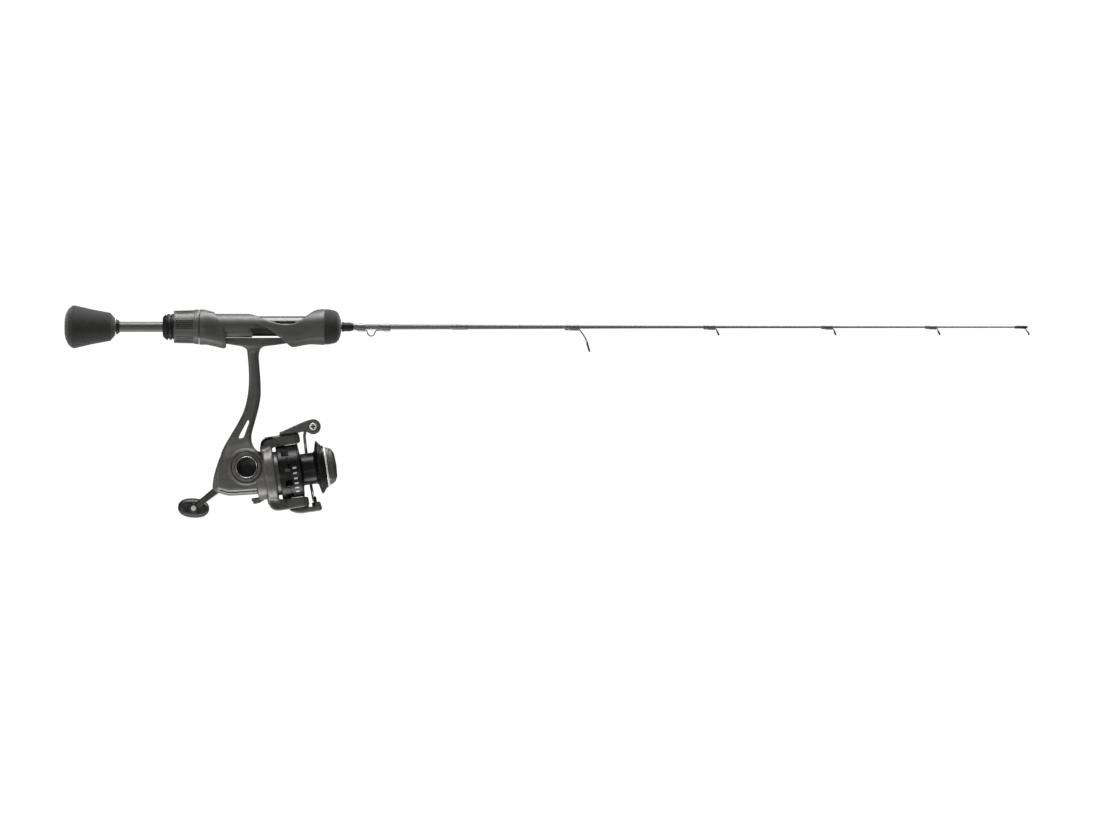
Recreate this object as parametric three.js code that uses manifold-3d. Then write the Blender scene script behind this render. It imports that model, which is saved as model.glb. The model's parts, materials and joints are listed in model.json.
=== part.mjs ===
// Ice fishing rod with a size 500 spinning reel, in millimetres.
// The origin is on the rod's axis, above the reel's stem, where the hand holds the rod.
// +X runs towards the rod's tip, +Z is up, and the reel's crank is on the +Y side.
import * as THREE from "three";
import { mergeVertices } from "three/addons/utils/BufferGeometryUtils.js";
import Module from "manifold-3d";

const wasm = await Module();
wasm.setup();

// ---------------------------------------------------------------- driving dimensions
const BUTT_X = -123.6; // the butt grip's flat end
const TUBE_R = 3.3; // rear tube through the handle
const SEAT_R = 8.6; // reel seat's barrel
const SEAT_BORE_R = 7.3;
const SEAT_REAR_X = -59.2;
const SEAT_FRONT_X = 47.2;
const FOOT_TOP_Z = -7.2; // the plane where the reel's foot meets the seat
const TIP_X = 509.2; // end of the blank
const CRANK = { x: -4.3, z: -92 }; // the crank's axis, parallel to Y
const SHAFT_TILT = 8.3; // degrees that the spool's axis rises towards the tip
const SHAFT_DROP = 7.1; // distance from the crank's axis to the spool's axis
const PIVOT_S = 33.4; // bail pivots, measured along the spool's axis
const ARM_OUT_H = 24.4; // outer face of the rotor's arms
const ARM_IN_H = 16.9; // their inner edge, beside the spool's skirt
const ARM_END_R = 4.5; // half of their width at the bail's pivots
const SKIRT_R = 17.6;
const CRANK_LENGTH = 44.5;
const CRANK_ANGLE = 218.3; // degrees in the XZ plane, from +X towards +Z
const KNOB_Y = 49; // inner end of the crank's knob
const GAP = 0.3; // between pieces that touch or run in each other

const tilt = THREE.MathUtils.degToRad(SHAFT_TILT);
// The spool frame: its own +X (called s) runs forward along the spool's axis, its +Z (called h) away from it.
const SPOOL_ORIGIN = new THREE.Vector3(
  CRANK.x + SHAFT_DROP * Math.sin(tilt),
  0,
  CRANK.z - SHAFT_DROP * Math.cos(tilt),
);
const toWorld = new THREE.Matrix4()
  .makeRotationY(-tilt)
  .setPosition(SPOOL_ORIGIN);

// ---------------------------------------------------------------- materials
function finish(color, roughness, metalness = 0) {
  return new THREE.MeshStandardMaterial({ color, roughness, metalness });
}
const FINISH = {
  foam: finish(0x2f2d2a, 0.9),
  softTouch: finish(0x4c4a46, 0.6),
  rubber: finish(0x191917, 0.7),
  blank: finish(0x5e5e58, 0.35, 0.2),
  thread: finish(0x6b6a66, 0.3),
  reelPaint: finish(0x4b4a46, 0.45, 0.3),
  glossBlack: finish(0x0e0d0c, 0.15),
  wire: finish(0x3a3a38, 0.3, 0.9),
  ceramic: finish(0x151515, 0.15),
  steel: finish(0xb9b8b4, 0.25, 1),
  brass: finish(0xb08d4a, 0.3, 1),
  zinc: finish(0x8d8f91, 0.4, 1),
};

// ---------------------------------------------------------------- geometry helpers
const TAU = Math.PI * 2;
const deg = THREE.MathUtils.degToRad;

function solid(geometry) {
  const plain = geometry.index ? geometry.toNonIndexed() : geometry.clone();
  Object.keys(plain.attributes)
    .filter((name) => name !== "position")
    .forEach((name) => plain.deleteAttribute(name));
  const merged = mergeVertices(plain, 1e-4);
  return new wasm.Manifold(
    new wasm.Mesh({
      numProp: 3,
      vertProperties: merged.attributes.position.array,
      triVerts: new Uint32Array(merged.index.array),
    }),
  );
}

function geometryOf(made) {
  const mesh = made.getMesh();
  const at = new Float32Array(mesh.numVert * 3);
  for (let i = 0; i < mesh.numVert; i += 1) {
    at.set(mesh.vertProperties.subarray(i * mesh.numProp, i * mesh.numProp + 3), i * 3);
  }
  return new THREE.BufferGeometry()
    .setAttribute("position", new THREE.BufferAttribute(at, 3))
    .setIndex(new THREE.BufferAttribute(mesh.triVerts, 1));
}

function joined(...parts) {
  return parts.reduce((whole, part) => whole.add(part));
}

function cut(whole, ...tools) {
  return tools.reduce((left, tool) => left.subtract(tool), whole);
}

// A solid of revolution about X: the profile is a list of [x, radius], closed on itself or ended on the axis.
function turned(profile, segments = 32) {
  const onAxis = profile[0][1] === 0 && profile[profile.length - 1][1] === 0;
  let area = 0;
  profile.forEach(([x, r], i) => {
    const [nextX, nextR] = profile[(i + 1) % profile.length];
    area += x * nextR - nextX * r;
  });
  const ordered = area < 0 ? profile : [...profile].reverse();
  const points = ordered.map(([x, r]) => new THREE.Vector2(r, x));
  if (!onAxis) {
    points.push(points[0].clone());
  }
  return new THREE.LatheGeometry(points, segments).rotateZ(-Math.PI / 2);
}

function tube(x0, x1, outer, inner, segments = 24) {
  return turned([[x0, inner], [x0, outer], [x1, outer], [x1, inner]], segments);
}

function disc(x0, x1, r, segments = 24) {
  return turned([[x0, 0], [x0, r], [x1, r], [x1, 0]], segments);
}

// The same along Y, standing at (x, z): profile of [y, radius].
function turnedY(profile, x, z, segments = 24) {
  return turned(profile, segments).rotateZ(Math.PI / 2).translate(x, 0, z);
}

function discY(y0, y1, r, x, z, segments = 24) {
  return turnedY([[y0, 0], [y0, r], [y1, r], [y1, 0]], x, z, segments);
}

// The same along the spool frame's h, standing at s: profile of [h, radius].
function discH(h0, h1, r, s, y = 0, segments = 16) {
  return disc(h0, h1, r, segments).rotateY(-Math.PI / 2).translate(s, y, 0);
}

function box(x0, x1, y0, y1, z0, z1) {
  return new THREE.BoxGeometry(x1 - x0, y1 - y0, z1 - z0).translate(
    (x0 + x1) / 2,
    (y0 + y1) / 2,
    (z0 + z1) / 2,
  );
}

// An outline in the XZ plane, extruded from y0 to y1.
function plate(shape, y0, y1, curveSegments = 5) {
  return new THREE.ExtrudeGeometry(shape, {
    depth: y1 - y0,
    bevelEnabled: false,
    curveSegments,
  })
    .rotateX(Math.PI / 2)
    .translate(0, y1, 0);
}

function outline(points) {
  return new THREE.Shape(points.map(([x, z]) => new THREE.Vector2(x, z)));
}

// A round wire along a smooth path through the points.
function wire(points, r, steps, sides = 8) {
  const section = new THREE.Shape().absarc(0, 0, r, 0, TAU);
  const path = new THREE.CatmullRomCurve3(points.map((p) => new THREE.Vector3(...p)));
  return new THREE.ExtrudeGeometry(section, {
    steps,
    extrudePath: path,
    curveSegments: sides / 2,
    bevelEnabled: false,
  });
}

// A closed skin over rings of equal length, each a list of Vector3, with a flat cap at both ends.
function loft(rings) {
  const count = rings[0].length;
  const at = rings.flat().flatMap((p) => [p.x, p.y, p.z]);
  const index = [];
  for (let i = 0; i + 1 < rings.length; i += 1) {
    for (let j = 0; j < count; j += 1) {
      const a = i * count + j;
      const b = i * count + ((j + 1) % count);
      index.push(a, b, b + count, a, b + count, a + count);
    }
  }
  [rings[0], rings[rings.length - 1]].forEach((ring, end) => {
    const middle = ring
      .reduce((sum, p) => sum.add(p), new THREE.Vector3())
      .divideScalar(count);
    const centre = at.length / 3;
    at.push(middle.x, middle.y, middle.z);
    const first = end ? (rings.length - 1) * count : 0;
    for (let j = 0; j < count; j += 1) {
      const a = first + j;
      const b = first + ((j + 1) % count);
      index.push(...(end ? [a, b, centre] : [b, a, centre]));
    }
  });
  const corner = (i) => new THREE.Vector3().fromArray(at, 3 * index[i]);
  let volume = 0;
  for (let i = 0; i < index.length; i += 3) {
    volume += corner(i).dot(corner(i + 1).cross(corner(i + 2)));
  }
  if (volume < 0) {
    return loft([...rings].reverse());
  }
  return new THREE.BufferGeometry()
    .setAttribute("position", new THREE.Float32BufferAttribute(at, 3))
    .setIndex(index)
    .toNonIndexed();
}

const part = new THREE.Group();
const spoolGroup = new THREE.Group();
spoolGroup.applyMatrix4(toWorld);
part.add(spoolGroup);

function place(name, shape, material, group = part) {
  const geometry = shape.isBufferGeometry ? shape : geometryOf(shape);
  const mesh = new THREE.Mesh(geometry, material);
  mesh.name = name;
  group.add(mesh);
}

function inWorld(geometry) {
  return geometry.applyMatrix4(toWorld);
}

// ---------------------------------------------------------------- handle of the rod
function handle() {
  const boreEnd = -115.4;
  place("butt_grip", turned([
    [BUTT_X, 0], [BUTT_X, 5], [-122.5, 8.8], [-120.5, 12.4], [-118.2, 14], [-116.8, 14.1],
    [-105, 11.2], [-93.4, 9.2], [-91.6, 8.2], [-90.2, 5.4], [-90.2, TUBE_R + GAP],
    [boreEnd, TUBE_R + GAP], [boreEnd, 0],
  ], 28), FINISH.foam);
  place("butt_collar", turned([
    [-89.9, TUBE_R + 0.15], [-89.9, 5], [-89, 4.8], [-87.6, 3.9], [-87.6, TUBE_R + 0.15],
  ], 16), FINISH.rubber);
  place("butt_tube", tube(-115, SEAT_FRONT_X - 1, TUBE_R, 2.3, 16), FINISH.blank);
}

// ---------------------------------------------------------------- reel seat
const THREAD = { start: -56.6, pitch: 2.6, turns: 3, crest: 8.5, root: 7.8 };

function seatBody() {
  const ridges = [];
  for (let i = 0; i < THREAD.turns; i += 1) {
    const x = THREAD.start + i * THREAD.pitch;
    ridges.push([x, THREAD.root], [x + 0.8, THREAD.crest], [x + 1.5, THREAD.crest]);
  }
  const outside = [
    [SEAT_REAR_X, 4.6], [-58.3, 6.6], ...ridges, [-49, 8.2], [-36, 8.2], [-35.6, SEAT_R],
    [4, SEAT_R], [12, 8.9], [22, 9.4], [30, 9.8], [36, 10.5], [41, 11.4], [45, 11.7],
    [SEAT_FRONT_X, 11.7],
  ];
  const inside = [
    [SEAT_FRONT_X, SEAT_BORE_R], [-56.3, SEAT_BORE_R], [-56.3, TUBE_R + GAP],
    [SEAT_REAR_X, TUBE_R + GAP],
  ];
  const shell = solid(turned([...outside, ...inside], 32));

  // The pod under the front of the seat, which hoods the foot's front end.
  const podSection = (x, halfWidth, bottom) => {
    const ring = [];
    for (let i = 0; i < 20; i += 1) {
      const a = (i / 20) * TAU;
      const round = Math.sign(Math.sin(a)) * Math.abs(Math.sin(a)) ** 0.8;
      const middle = bottom / 2;
      ring.push(new THREE.Vector3(x, halfWidth * Math.cos(a), middle - (bottom / 2) * round));
    }
    return ring;
  };
  const pod = solid(loft([
    podSection(12, 8.2, -11.5), podSection(20, 9, -13), podSection(26.6, 9.4, -13.3),
    podSection(33, 9.8, -12), podSection(40, 10.4, -11.2), podSection(46, 10.4, -11),
  ]));
  const boreFilled = solid(disc(-60, SEAT_FRONT_X + 1, SEAT_BORE_R, 32));

  // The top window, which shows the core: everything above a swept curve.
  const window = new THREE.Shape();
  window.moveTo(-2, 14);
  window.lineTo(-2, SEAT_R);
  window.bezierCurveTo(9, 8, 10, 1.6, 20.4, 1.6);
  window.bezierCurveTo(30, 1.6, 33, 9.5, 45, 11.8);
  window.lineTo(45, 14);
  // The open wedge on both sides, between the barrel, the foot and the blades that sweep down to the pod.
  const wedge = outline([[1.5, -8], [1.5, -2.8], [4, -1.6], [7.2, -1.7], [16, -6.6], [18, -8]]);
  const restZ = FOOT_TOP_Z + 0.25;
  const underside = outline([
    [-36, -20], [-36, restZ], [-0.5, restZ], [-0.5, -6.6], [16, -6.6], [25.4, -13.6], [25.4, -20],
  ]);
  const pocket = box(10, 33.6, -6.9, 6.9, -10.9, -6.6);
  return cut(
    joined(shell, pod.subtract(boreFilled)),
    solid(plate(window, -15, 15, 9)),
    solid(plate(wedge, -15, 15)),
    solid(plate(underside, -15, 15)),
    solid(pocket),
  );
}

// The hood that slides over the foot's rear end, and the nut that drives it along the thread.
function seatHood() {
  const sleeve = solid(turned([
    [-35.2, 8.4], [-35.2, 11.5], [-31, 11.2], [-27.5, 10.2], [-24, 9.4], [-17, 9.2], [-17, 8.4],
  ], 32));
  const podRing = (x, halfWidth, bottom) => {
    const ring = [];
    for (let i = 0; i <= 14; i += 1) {
      const a = (i / 14) * Math.PI;
      const z = -4 + (bottom + 4) * Math.sin(a) ** 0.8;
      ring.push(new THREE.Vector3(x, halfWidth * Math.cos(a), z));
    }
    return ring;
  };
  const pod = solid(loft([
    podRing(-35.2, 10.4, -11.3), podRing(-29, 10, -11.9), podRing(-22, 9.7, -13.9),
    podRing(-19, 9.4, -14), podRing(-16.6, 9, -12.6),
  ]));
  const front = outline([
    [-25.4, 20], [-25.4, 9.6], [-21.2, 3], [-17.9, -6.6], [-17.3, -20], [0, -20], [0, 20],
  ]);
  return cut(
    joined(sleeve, pod),
    solid(disc(-40, -10, 8.9, 32)),
    solid(box(-30, -10, -6.9, 6.9, -11.7, -6.9)),
    solid(plate(front, -15, 15)),
  );
}

function seat() {
  place("seat_body", seatBody(), FINISH.softTouch);
  place("seat_core", cut(
    solid(tube(-56, SEAT_FRONT_X - 0.6, 7, TUBE_R + 0.2, 24)),
    solid(box(-60, 60, -9, 9, -9, -6)),
  ), FINISH.blank);
  place("seat_hood", seatHood(), FINISH.softTouch);
  place("seat_nut", turned([
    [-51.9, 8.8], [-51.9, 10.2], [-51.4, 10.7], [-38.5, 11], [-36.2, 11.4], [-35.5, 11.4],
    [-35.5, 8.8],
  ], 28), FINISH.softTouch);
  place("fore_grip", turned([
    [47.5, 2.3], [47.5, 11.7], [49.8, 11.5], [52, 10.9], [54.4, 9.5], [56.4, 7], [57.7, 4.2],
    [57.9, 2.3],
  ], 28), FINISH.foam);
  place("winding_check", turned([
    [58.2, 2.15], [58.2, 3.2], [62.6, 3], [65.3, 2.6], [65.9, 2.15],
  ], 14), FINISH.rubber);
}

// ---------------------------------------------------------------- blank, wraps and guides
const BLANK = [[10, 2], [60, 1.8], [140, 1.5], [205, 1.22], [240, 1.05], [300, 0.85],
  [380, 0.68], [450, 0.56], [TIP_X, 0.48]];

function blankRadius(x) {
  const i = BLANK.findIndex(([end]) => end >= x);
  const [x0, r0] = BLANK[Math.max(0, i - 1)];
  const [x1, r1] = BLANK[i];
  return x1 === x0 ? r1 : r0 + ((r1 - r0) * (x - x0)) / (x1 - x0);
}

// Thread wound over the blank, and over the foot of a guide that lies under it.
function wrap(x0, x1, foot, thick = 0.3) {
  const ring = (x, under, t) => {
    const r = blankRadius(x) + t + under / 2;
    const points = [];
    for (let i = 0; i < 12; i += 1) {
      const a = (i / 12) * TAU;
      points.push(new THREE.Vector3(x, r * Math.cos(a), -under / 2 - r * Math.sin(a)));
    }
    return points;
  };
  const length = x1 - x0;
  const body = loft([
    ring(x0, 0, thick * 0.6), ring(x0 + 0.15 * length, foot * 0.3, thick),
    ring(x0 + 0.6 * length, foot, thick), ring(x1 - 0.5, foot, thick), ring(x1, foot, thick * 0.6),
  ]);
  const bore = solid(turned([
    [x0 - 1, 0], [x0 - 1, blankRadius(x0) + 0.08], [x1 + 1, blankRadius(x1) + 0.08], [x1 + 1, 0],
  ], 12));
  return solid(body).subtract(bore);
}

// A single-foot guide: a flattened foot under the wrap, a leg, and a ring leaning forward.
function guide(n, { footX, legX, ring, lean, wireR, drop, reach }) {
  const footZ = -(blankRadius(legX) + wireR + 0.12);
  const top = [legX + reach, 0, footZ - drop];
  const leg = solid(wire([
    [footX, 0, footZ], [(footX + legX) / 2, 0, footZ], [legX - 0.6, 0, footZ],
    [legX + reach * 0.2, 0, footZ - drop * 0.2], top,
  ], wireR, 7, 6));
  const centre = [top[0] + ring * Math.sin(deg(lean)), 0, top[2] - ring * Math.cos(deg(lean))];
  const stand = (geometry) => geometry.rotateY(-deg(lean)).translate(...centre);
  const band = 0.36 + ring * 0.06;
  const hoop = solid(stand(turned([
    [-0.55, ring - band], [-0.3, ring], [0.3, ring], [0.55, ring - band],
  ], 14)));
  place(`guide_frame_${n}`, joined(leg, hoop), FINISH.wire);
  const inner = ring - band - 0.08;
  place(`guide_ring_${n}`, stand(turned([
    [-0.6, inner - 0.2], [-0.45, inner], [0.45, inner], [0.6, inner - 0.2], [0, inner - 0.45],
  ], 14)), FINISH.ceramic);
  const hollow = wireR + 0.12;
  const bore = solid(box(footX - 0.3, legX + 2, -hollow, hollow, footZ - hollow, 0));
  place(`guide_wrap_${n}`, wrap(footX - 0.8, legX - 0.3, 2 * wireR + 0.1).subtract(bore), FINISH.thread);
}

const GUIDES = [
  { footX: 205.2, legX: 214.7, ring: 4.45, lean: 16, wireR: 0.42, drop: 6.2, reach: 4.1 },
  { footX: 296.6, legX: 304.3, ring: 2.05, lean: 25, wireR: 0.34, drop: 0.5, reach: 0.4 },
  { footX: 374.2, legX: 381.6, ring: 2, lean: 20, wireR: 0.32, drop: 0.6, reach: 0.4 },
  { footX: 442.6, legX: 450.1, ring: 1.95, lean: 22, wireR: 0.3, drop: 0.8, reach: 0.5 },
];

function tipTop() {
  const lean = deg(18);
  const ring = 1.5;
  const centre = [TIP_X + 1.2, 0, -3.9];
  const stand = (geometry) => geometry.rotateY(-lean).translate(...centre);
  const sleeve = solid(turned([
    [501.2, 0.62], [501.2, 0.9], [508.6, 0.95], [TIP_X + 0.5, 0.7], [TIP_X + 0.5, 0], [TIP_X + 0.2, 0],
    [TIP_X + 0.2, 0.6],
  ], 14));
  const stays = [-1, 1].map((side) => solid(wire([
    [505.6, side * 0.5, -0.75], [508.4, side * 0.9, -1.1], [TIP_X + 0.1, side * 1.2, -2.4],
    [centre[0] - 0.1, side * 1.37, centre[2]],
  ], 0.3, 5, 6)));
  const hoop = solid(stand(turned([
    [-0.5, ring - 0.4], [-0.28, ring], [0.28, ring], [0.5, ring - 0.4],
  ], 14)));
  place("tip_top_frame", joined(sleeve, ...stays, hoop), FINISH.wire);
  const inner = ring - 0.48;
  place("tip_top_ring", stand(turned([
    [-0.55, inner - 0.18], [-0.42, inner], [0.42, inner], [0.55, inner - 0.18], [0, inner - 0.4],
  ], 14)), FINISH.ceramic);
}

function blankAndGuides() {
  place("blank", turned([[BLANK[0][0], 0], ...BLANK, [TIP_X, 0]], 12), FINISH.blank);
  GUIDES.forEach((made, i) => guide(i + 1, made));
  tipTop();
  place("keeper_wire", wire([
    [69.4, 0, -2.3], [73.2, 0, -2.3], [74.6, 0, -2.6], [75.3, 0, -4.4], [76.4, 0, -5.9],
    [78.8, 0, -5.9], [80, 0, -4.4], [80.7, 0, -2.6], [82.1, 0, -2.25], [87, 0, -2.25],
  ], 0.35, 22, 6), FINISH.wire);
  const keeperFoot = (x0, x1) => solid(box(x0, x1, -0.5, 0.5, -2.85, 0));
  place("keeper_wrap_rear", wrap(66.4, 73.4, 1.1).subtract(keeperFoot(69, 75)), FINISH.thread);
  place("keeper_wrap_front", wrap(82, 90.2, 1.1).subtract(keeperFoot(81, 87.4)), FINISH.thread);
  place("trim_wrap", wrap(130.2, 141.2, 0), FINISH.thread);
}

// ---------------------------------------------------------------- reel: frame, cover and fixed pieces
function stemShape() {
  const shape = new THREE.Shape();
  shape.moveTo(-10, -10.6);
  shape.lineTo(-10, -12.2);
  shape.bezierCurveTo(-5.2, -12.8, -3.7, -15, -3.6, -18.3);
  shape.bezierCurveTo(-2.6, -28, -1.4, -42, -5.9, -54.8);
  shape.bezierCurveTo(-9.5, -64.5, -17.5, -74, -20.8, -83.1);
  shape.lineTo(4.2, -83.1);
  shape.bezierCurveTo(0, -79.5, -1.8, -75.5, -0.7, -69.7);
  shape.bezierCurveTo(1.2, -62, 4.2, -54, 5.1, -45.1);
  shape.bezierCurveTo(5.4, -38, 4.4, -28, 3.8, -20);
  shape.bezierCurveTo(4, -15.5, 6.5, -13, 9.7, -12.4);
  shape.lineTo(9.7, -10.6);
  return shape;
}

// The body's outline, or the same pulled in by a wall's thickness.
function bodyShape(wall = 0) {
  const shape = new THREE.Shape();
  shape.moveTo(-17.6 + wall, -77 - wall);
  shape.bezierCurveTo(-21.5 + wall, -84, -26.3 + wall, -96, -26.6 + wall, -105.4 + wall / 2);
  shape.bezierCurveTo(-26 + wall, -108.6 + wall, -21 + wall, -109.6 + wall, -15.7, -110.9 + wall);
  shape.lineTo(-4, -110.3 + wall);
  shape.lineTo(8.2 - wall, -109 + wall);
  shape.lineTo(4.6 - wall, -82.4 - wall);
  shape.bezierCurveTo(1, -80.5 - wall, -0.4, -79 - wall, -0.9 - wall, -77 - wall);
  return shape;
}

const NEAR_Y = -11.3; // the housing's flat side, opposite the crank
const PARTING_Y = 9; // where the housing ends and its cover starts
const COVER_SCREWS = [{ x: -14.5, z: -80.6 }, { x: -22.4, z: -105 }];
const OSC = { s: -10.2, h: 3.6, throw: 4, phase: 130.3 }; // its axle, crank pin radius and angle at rest

function spoolFramePoint(s, h) {
  const p = new THREE.Vector3(s, 0, h).applyMatrix4(toWorld);
  return { x: p.x, z: p.z };
}

function reelFrame() {
  const foot = new THREE.Shape();
  foot.moveTo(-27, FOOT_TOP_Z);
  foot.lineTo(33, FOOT_TOP_Z);
  foot.lineTo(33, -8.6);
  foot.bezierCurveTo(24, -10.8, 16, -11.8, 10, -12.5);
  foot.lineTo(-10, -12.3);
  foot.bezierCurveTo(-16, -11.4, -22, -10.6, -27, -8.8);
  const footCorners = box(-30, 36, -6.5, 6.5, -13, -6);
  const slot = outline([[-3.2, -61.6], [-2.4, -63], [-6.4, -72.4], [-9.2, -73.1], [-8.4, -71]]);
  const outside = joined(
    solid(plate(foot, -6.5, 6.5)).intersect(solid(footCorners)),
    solid(plate(stemShape(), -4.2, 4.2, 7)),
    solid(plate(bodyShape(), NEAR_Y, PARTING_Y, 7)),
    solid(inWorld(disc(9.2, 14.9, 15.9, 32))),
    solid(inWorld(disc(14.5, 21, 9, 24))),
    solid(discY(-13.1, -11, 11.5, CRANK.x, CRANK.z, 36)),
  );
  const round = (s0, s1, r) => solid(inWorld(disc(s0, s1, r, 24)));
  const housing = cut(
    outside,
    solid(plate(slot, -6, 6)),
    solid(plate(bodyShape(2), NEAR_Y + 2, PARTING_Y + 1, 7)),
    solid(discY(1.6, 7.6, 12.2, CRANK.x, CRANK.z, 28)),
    round(5, 11.8, 4.2),
    round(11.7, 14.3, 5.6),
    round(14.2, 22, 6.8),
    solid(discY(-12, -9, 5.6, CRANK.x, CRANK.z)),
    solid(discY(-14, -11, 3.4, CRANK.x, CRANK.z)),
    solid(inWorld(disc(8, 11.6, 1.3, 12).translate(0, 0, -14.4))),
  );
  const axle = spoolFramePoint(OSC.s, OSC.h);
  const floorY = NEAR_Y + 1.8;
  return cut(
    joined(
      housing,
      solid(discY(floorY, -6.4, 2.4, axle.x, axle.z, 14)),
      solid(discY(floorY, -4.3, 1.2, axle.x, axle.z, 12)),
      ...COVER_SCREWS.map(({ x, z }) => solid(discY(floorY, PARTING_Y, 2.2, x, z, 14))),
    ),
    ...COVER_SCREWS.map(({ x, z }) => solid(discY(3.5, 12, 1.3, x, z, 12))),
  );
}

// The cover closes the housing on the crank's side and carries the crank's far bearing.
function sideCover() {
  return cut(
    joined(
      solid(plate(bodyShape(), PARTING_Y + GAP, 11, 7)),
      solid(discY(10.5, 16.5, 8.5, CRANK.x, CRANK.z, 28)),
    ),
    solid(discY(8, 12.4, 3.4, CRANK.x, CRANK.z)),
    solid(discY(12.3, 18, 5.6, CRANK.x, CRANK.z)),
    solid(inWorld(disc(8.9, 15.2, 16.3, 32))),
    ...COVER_SCREWS.map(({ x, z }) => solid(discY(8, 12, 1.3, x, z, 12))),
  );
}

function reelBody() {
  place("reel_frame", reelFrame(), FINISH.reelPaint);
  place("side_cover", sideCover(), FINISH.reelPaint);
  COVER_SCREWS.forEach(({ x, z }, i) => {
    const screw = turnedY([
      [4, 0], [4, 1], [11.2, 1], [11.2, 2.1], [12, 1.9], [12.4, 0],
    ], x, z, 14);
    place(`cover_screw_${i + 1}`, screw, FINISH.steel);
  });
  const bearing = (y0, y1) => turnedY(
    [[y0, 3.15], [y0, 5.4], [y1, 5.4], [y1, 3.15]], CRANK.x, CRANK.z, 24,
  );
  place("crank_bearing_near", bearing(-11.8, -9), FINISH.steel);
  place("crank_bearing_far", bearing(12.6, 15.4), FINISH.steel);
  place("pinion_bearing", tube(11.9, 14.1, 5.4, 2.75, 20), FINISH.steel, spoolGroup);
  place("roller_clutch", tube(14.4, 20.8, 6.6, 2.75, 20), FINISH.zinc, spoolGroup);
  const lever = new THREE.Shape();
  lever.moveTo(8.9, -13.3);
  lever.lineTo(5.4, -13.3);
  lever.bezierCurveTo(4, -13.9, 2, -13.8, -0.2, -13.7);
  lever.lineTo(1.3, -17.6);
  lever.bezierCurveTo(4.5, -17.6, 7.4, -17, 8.9, -15.4);
  place("anti_reverse_lever", joined(
    solid(plate(lever, -2.2, 2.2)),
    solid(disc(5.4, 8.9, 1.9, 16).translate(0, 0, -14.4)),
    solid(disc(8.5, 11.2, 1, 12).translate(0, 0, -14.4)),
  ), FINISH.reelPaint, spoolGroup);
}

// ---------------------------------------------------------------- gears
const DRIVE = { teeth: 35, inner: 9.3, outer: 11.5, face: 3.7, tip: 2.5, tooth: 0.6 };
const PINION = { teeth: 7, outer: 3.3, root: 2.3, mesh: 7.5, twist: -0.3323 };
const IDLER = { module: 0.6, small: 14, large: 22 };

// A spur gear's outline with slim teeth, one of them centred on the angle given.
function spurShape(teeth, module, angle) {
  const pitch = (teeth * module) / 2;
  const shape = new THREE.Shape();
  for (let i = 0; i < teeth; i += 1) {
    const middle = angle + (i * TAU) / teeth;
    const corners = [
      [pitch - module * 1.2, -0.29], [pitch + module * 0.8, -0.1],
      [pitch + module * 0.8, 0.1], [pitch - module * 1.2, 0.29],
    ];
    corners.forEach(([r, share], corner) => {
      const a = middle + (share * TAU) / teeth;
      const at = [r * Math.cos(a), r * Math.sin(a)];
      if (i === 0 && corner === 0) {
        shape.moveTo(...at);
      } else {
        shape.lineTo(...at);
      }
    });
  }
  return shape;
}

function driveGear() {
  const rim = solid(discY(DRIVE.face, 5.6, DRIVE.outer, 0, SHAFT_DROP, 48));
  const toMesh = Math.atan2(-SHAFT_DROP, PINION.mesh);
  const half = DRIVE.tooth / 2;
  const ridges = [];
  for (let i = 0; i < DRIVE.teeth; i += 1) {
    const ridge = box(DRIVE.inner, DRIVE.outer - 0.15, DRIVE.tip, DRIVE.face + 0.4, -half, half)
      .rotateY(-toMesh - (i * TAU) / DRIVE.teeth)
      .translate(0, 0, SHAFT_DROP);
    ridges.push(solid(ridge));
  }
  const meshLine = Math.atan2(OSC.h - SHAFT_DROP, OSC.s);
  const small = plate(spurShape(IDLER.small, IDLER.module, meshLine), -6, -4)
    .translate(0, 0, SHAFT_DROP);
  const sleeve = discY(-6, 6.4, 3.7, 0, SHAFT_DROP, 20);
  const bore = discY(-7, 8, 3.15, 0, SHAFT_DROP, 24);
  return cut(joined(rim, ...ridges, solid(small), solid(sleeve)), solid(bore));
}

function pinion() {
  const toothCorners = [
    [PINION.root, -0.26], [PINION.outer, -0.1], [PINION.outer, 0.1], [PINION.root, 0.26],
  ];
  const rings = [];
  const steps = 5;
  const from = 5.4;
  const to = 10.2;
  for (let k = 0; k <= steps; k += 1) {
    const s = from + ((to - from) * k) / steps;
    const turn = (s - PINION.mesh) * PINION.twist;
    const ring = [];
    for (let i = 0; i < PINION.teeth; i += 1) {
      // The middle of a gap faces +Y where the wheel's teeth come in.
      const middle = Math.PI / 2 + turn + ((i + 0.5) * TAU) / PINION.teeth;
      toothCorners.forEach(([r, share]) => {
        const a = middle + (share * TAU) / PINION.teeth;
        // Angles run from +Z (h) towards -Y, as a turn about +X does from +Y towards +Z.
        ring.push(new THREE.Vector3(s, r * Math.sin(a), -r * Math.cos(a)));
      });
    }
    rings.push(ring);
  }
  const toothed = solid(loft(rings.map((ring) => [...ring].reverse())));
  const sleeve = solid(disc(9.8, 24.4, 2.6, 24));
  return cut(joined(toothed, sleeve), solid(disc(0, 30, 1.8, 16)));
}

function gearTrain() {
  place("drive_gear", driveGear(), FINISH.zinc, spoolGroup);
  place("pinion_gear", pinion(), FINISH.brass, spoolGroup);
  const backLine = Math.atan2(SHAFT_DROP - OSC.h, -OSC.s);
  const halfTooth = Math.PI / IDLER.large;
  const phase = deg(OSC.phase);
  const wheel = plate(spurShape(IDLER.large, IDLER.module, backLine + halfTooth), -6, -4);
  const pinX = OSC.throw * Math.cos(phase);
  const pinZ = OSC.throw * Math.sin(phase);
  place("oscillation_gear", cut(
    joined(solid(wheel), solid(discY(-4.3, -2.4, 1.2, pinX, pinZ, 12))),
    solid(discY(-7, -4.1, 1.5, 0, 0, 14)),
  ).translate([OSC.s, 0, OSC.h]), FINISH.zinc, spoolGroup);
}

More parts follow.
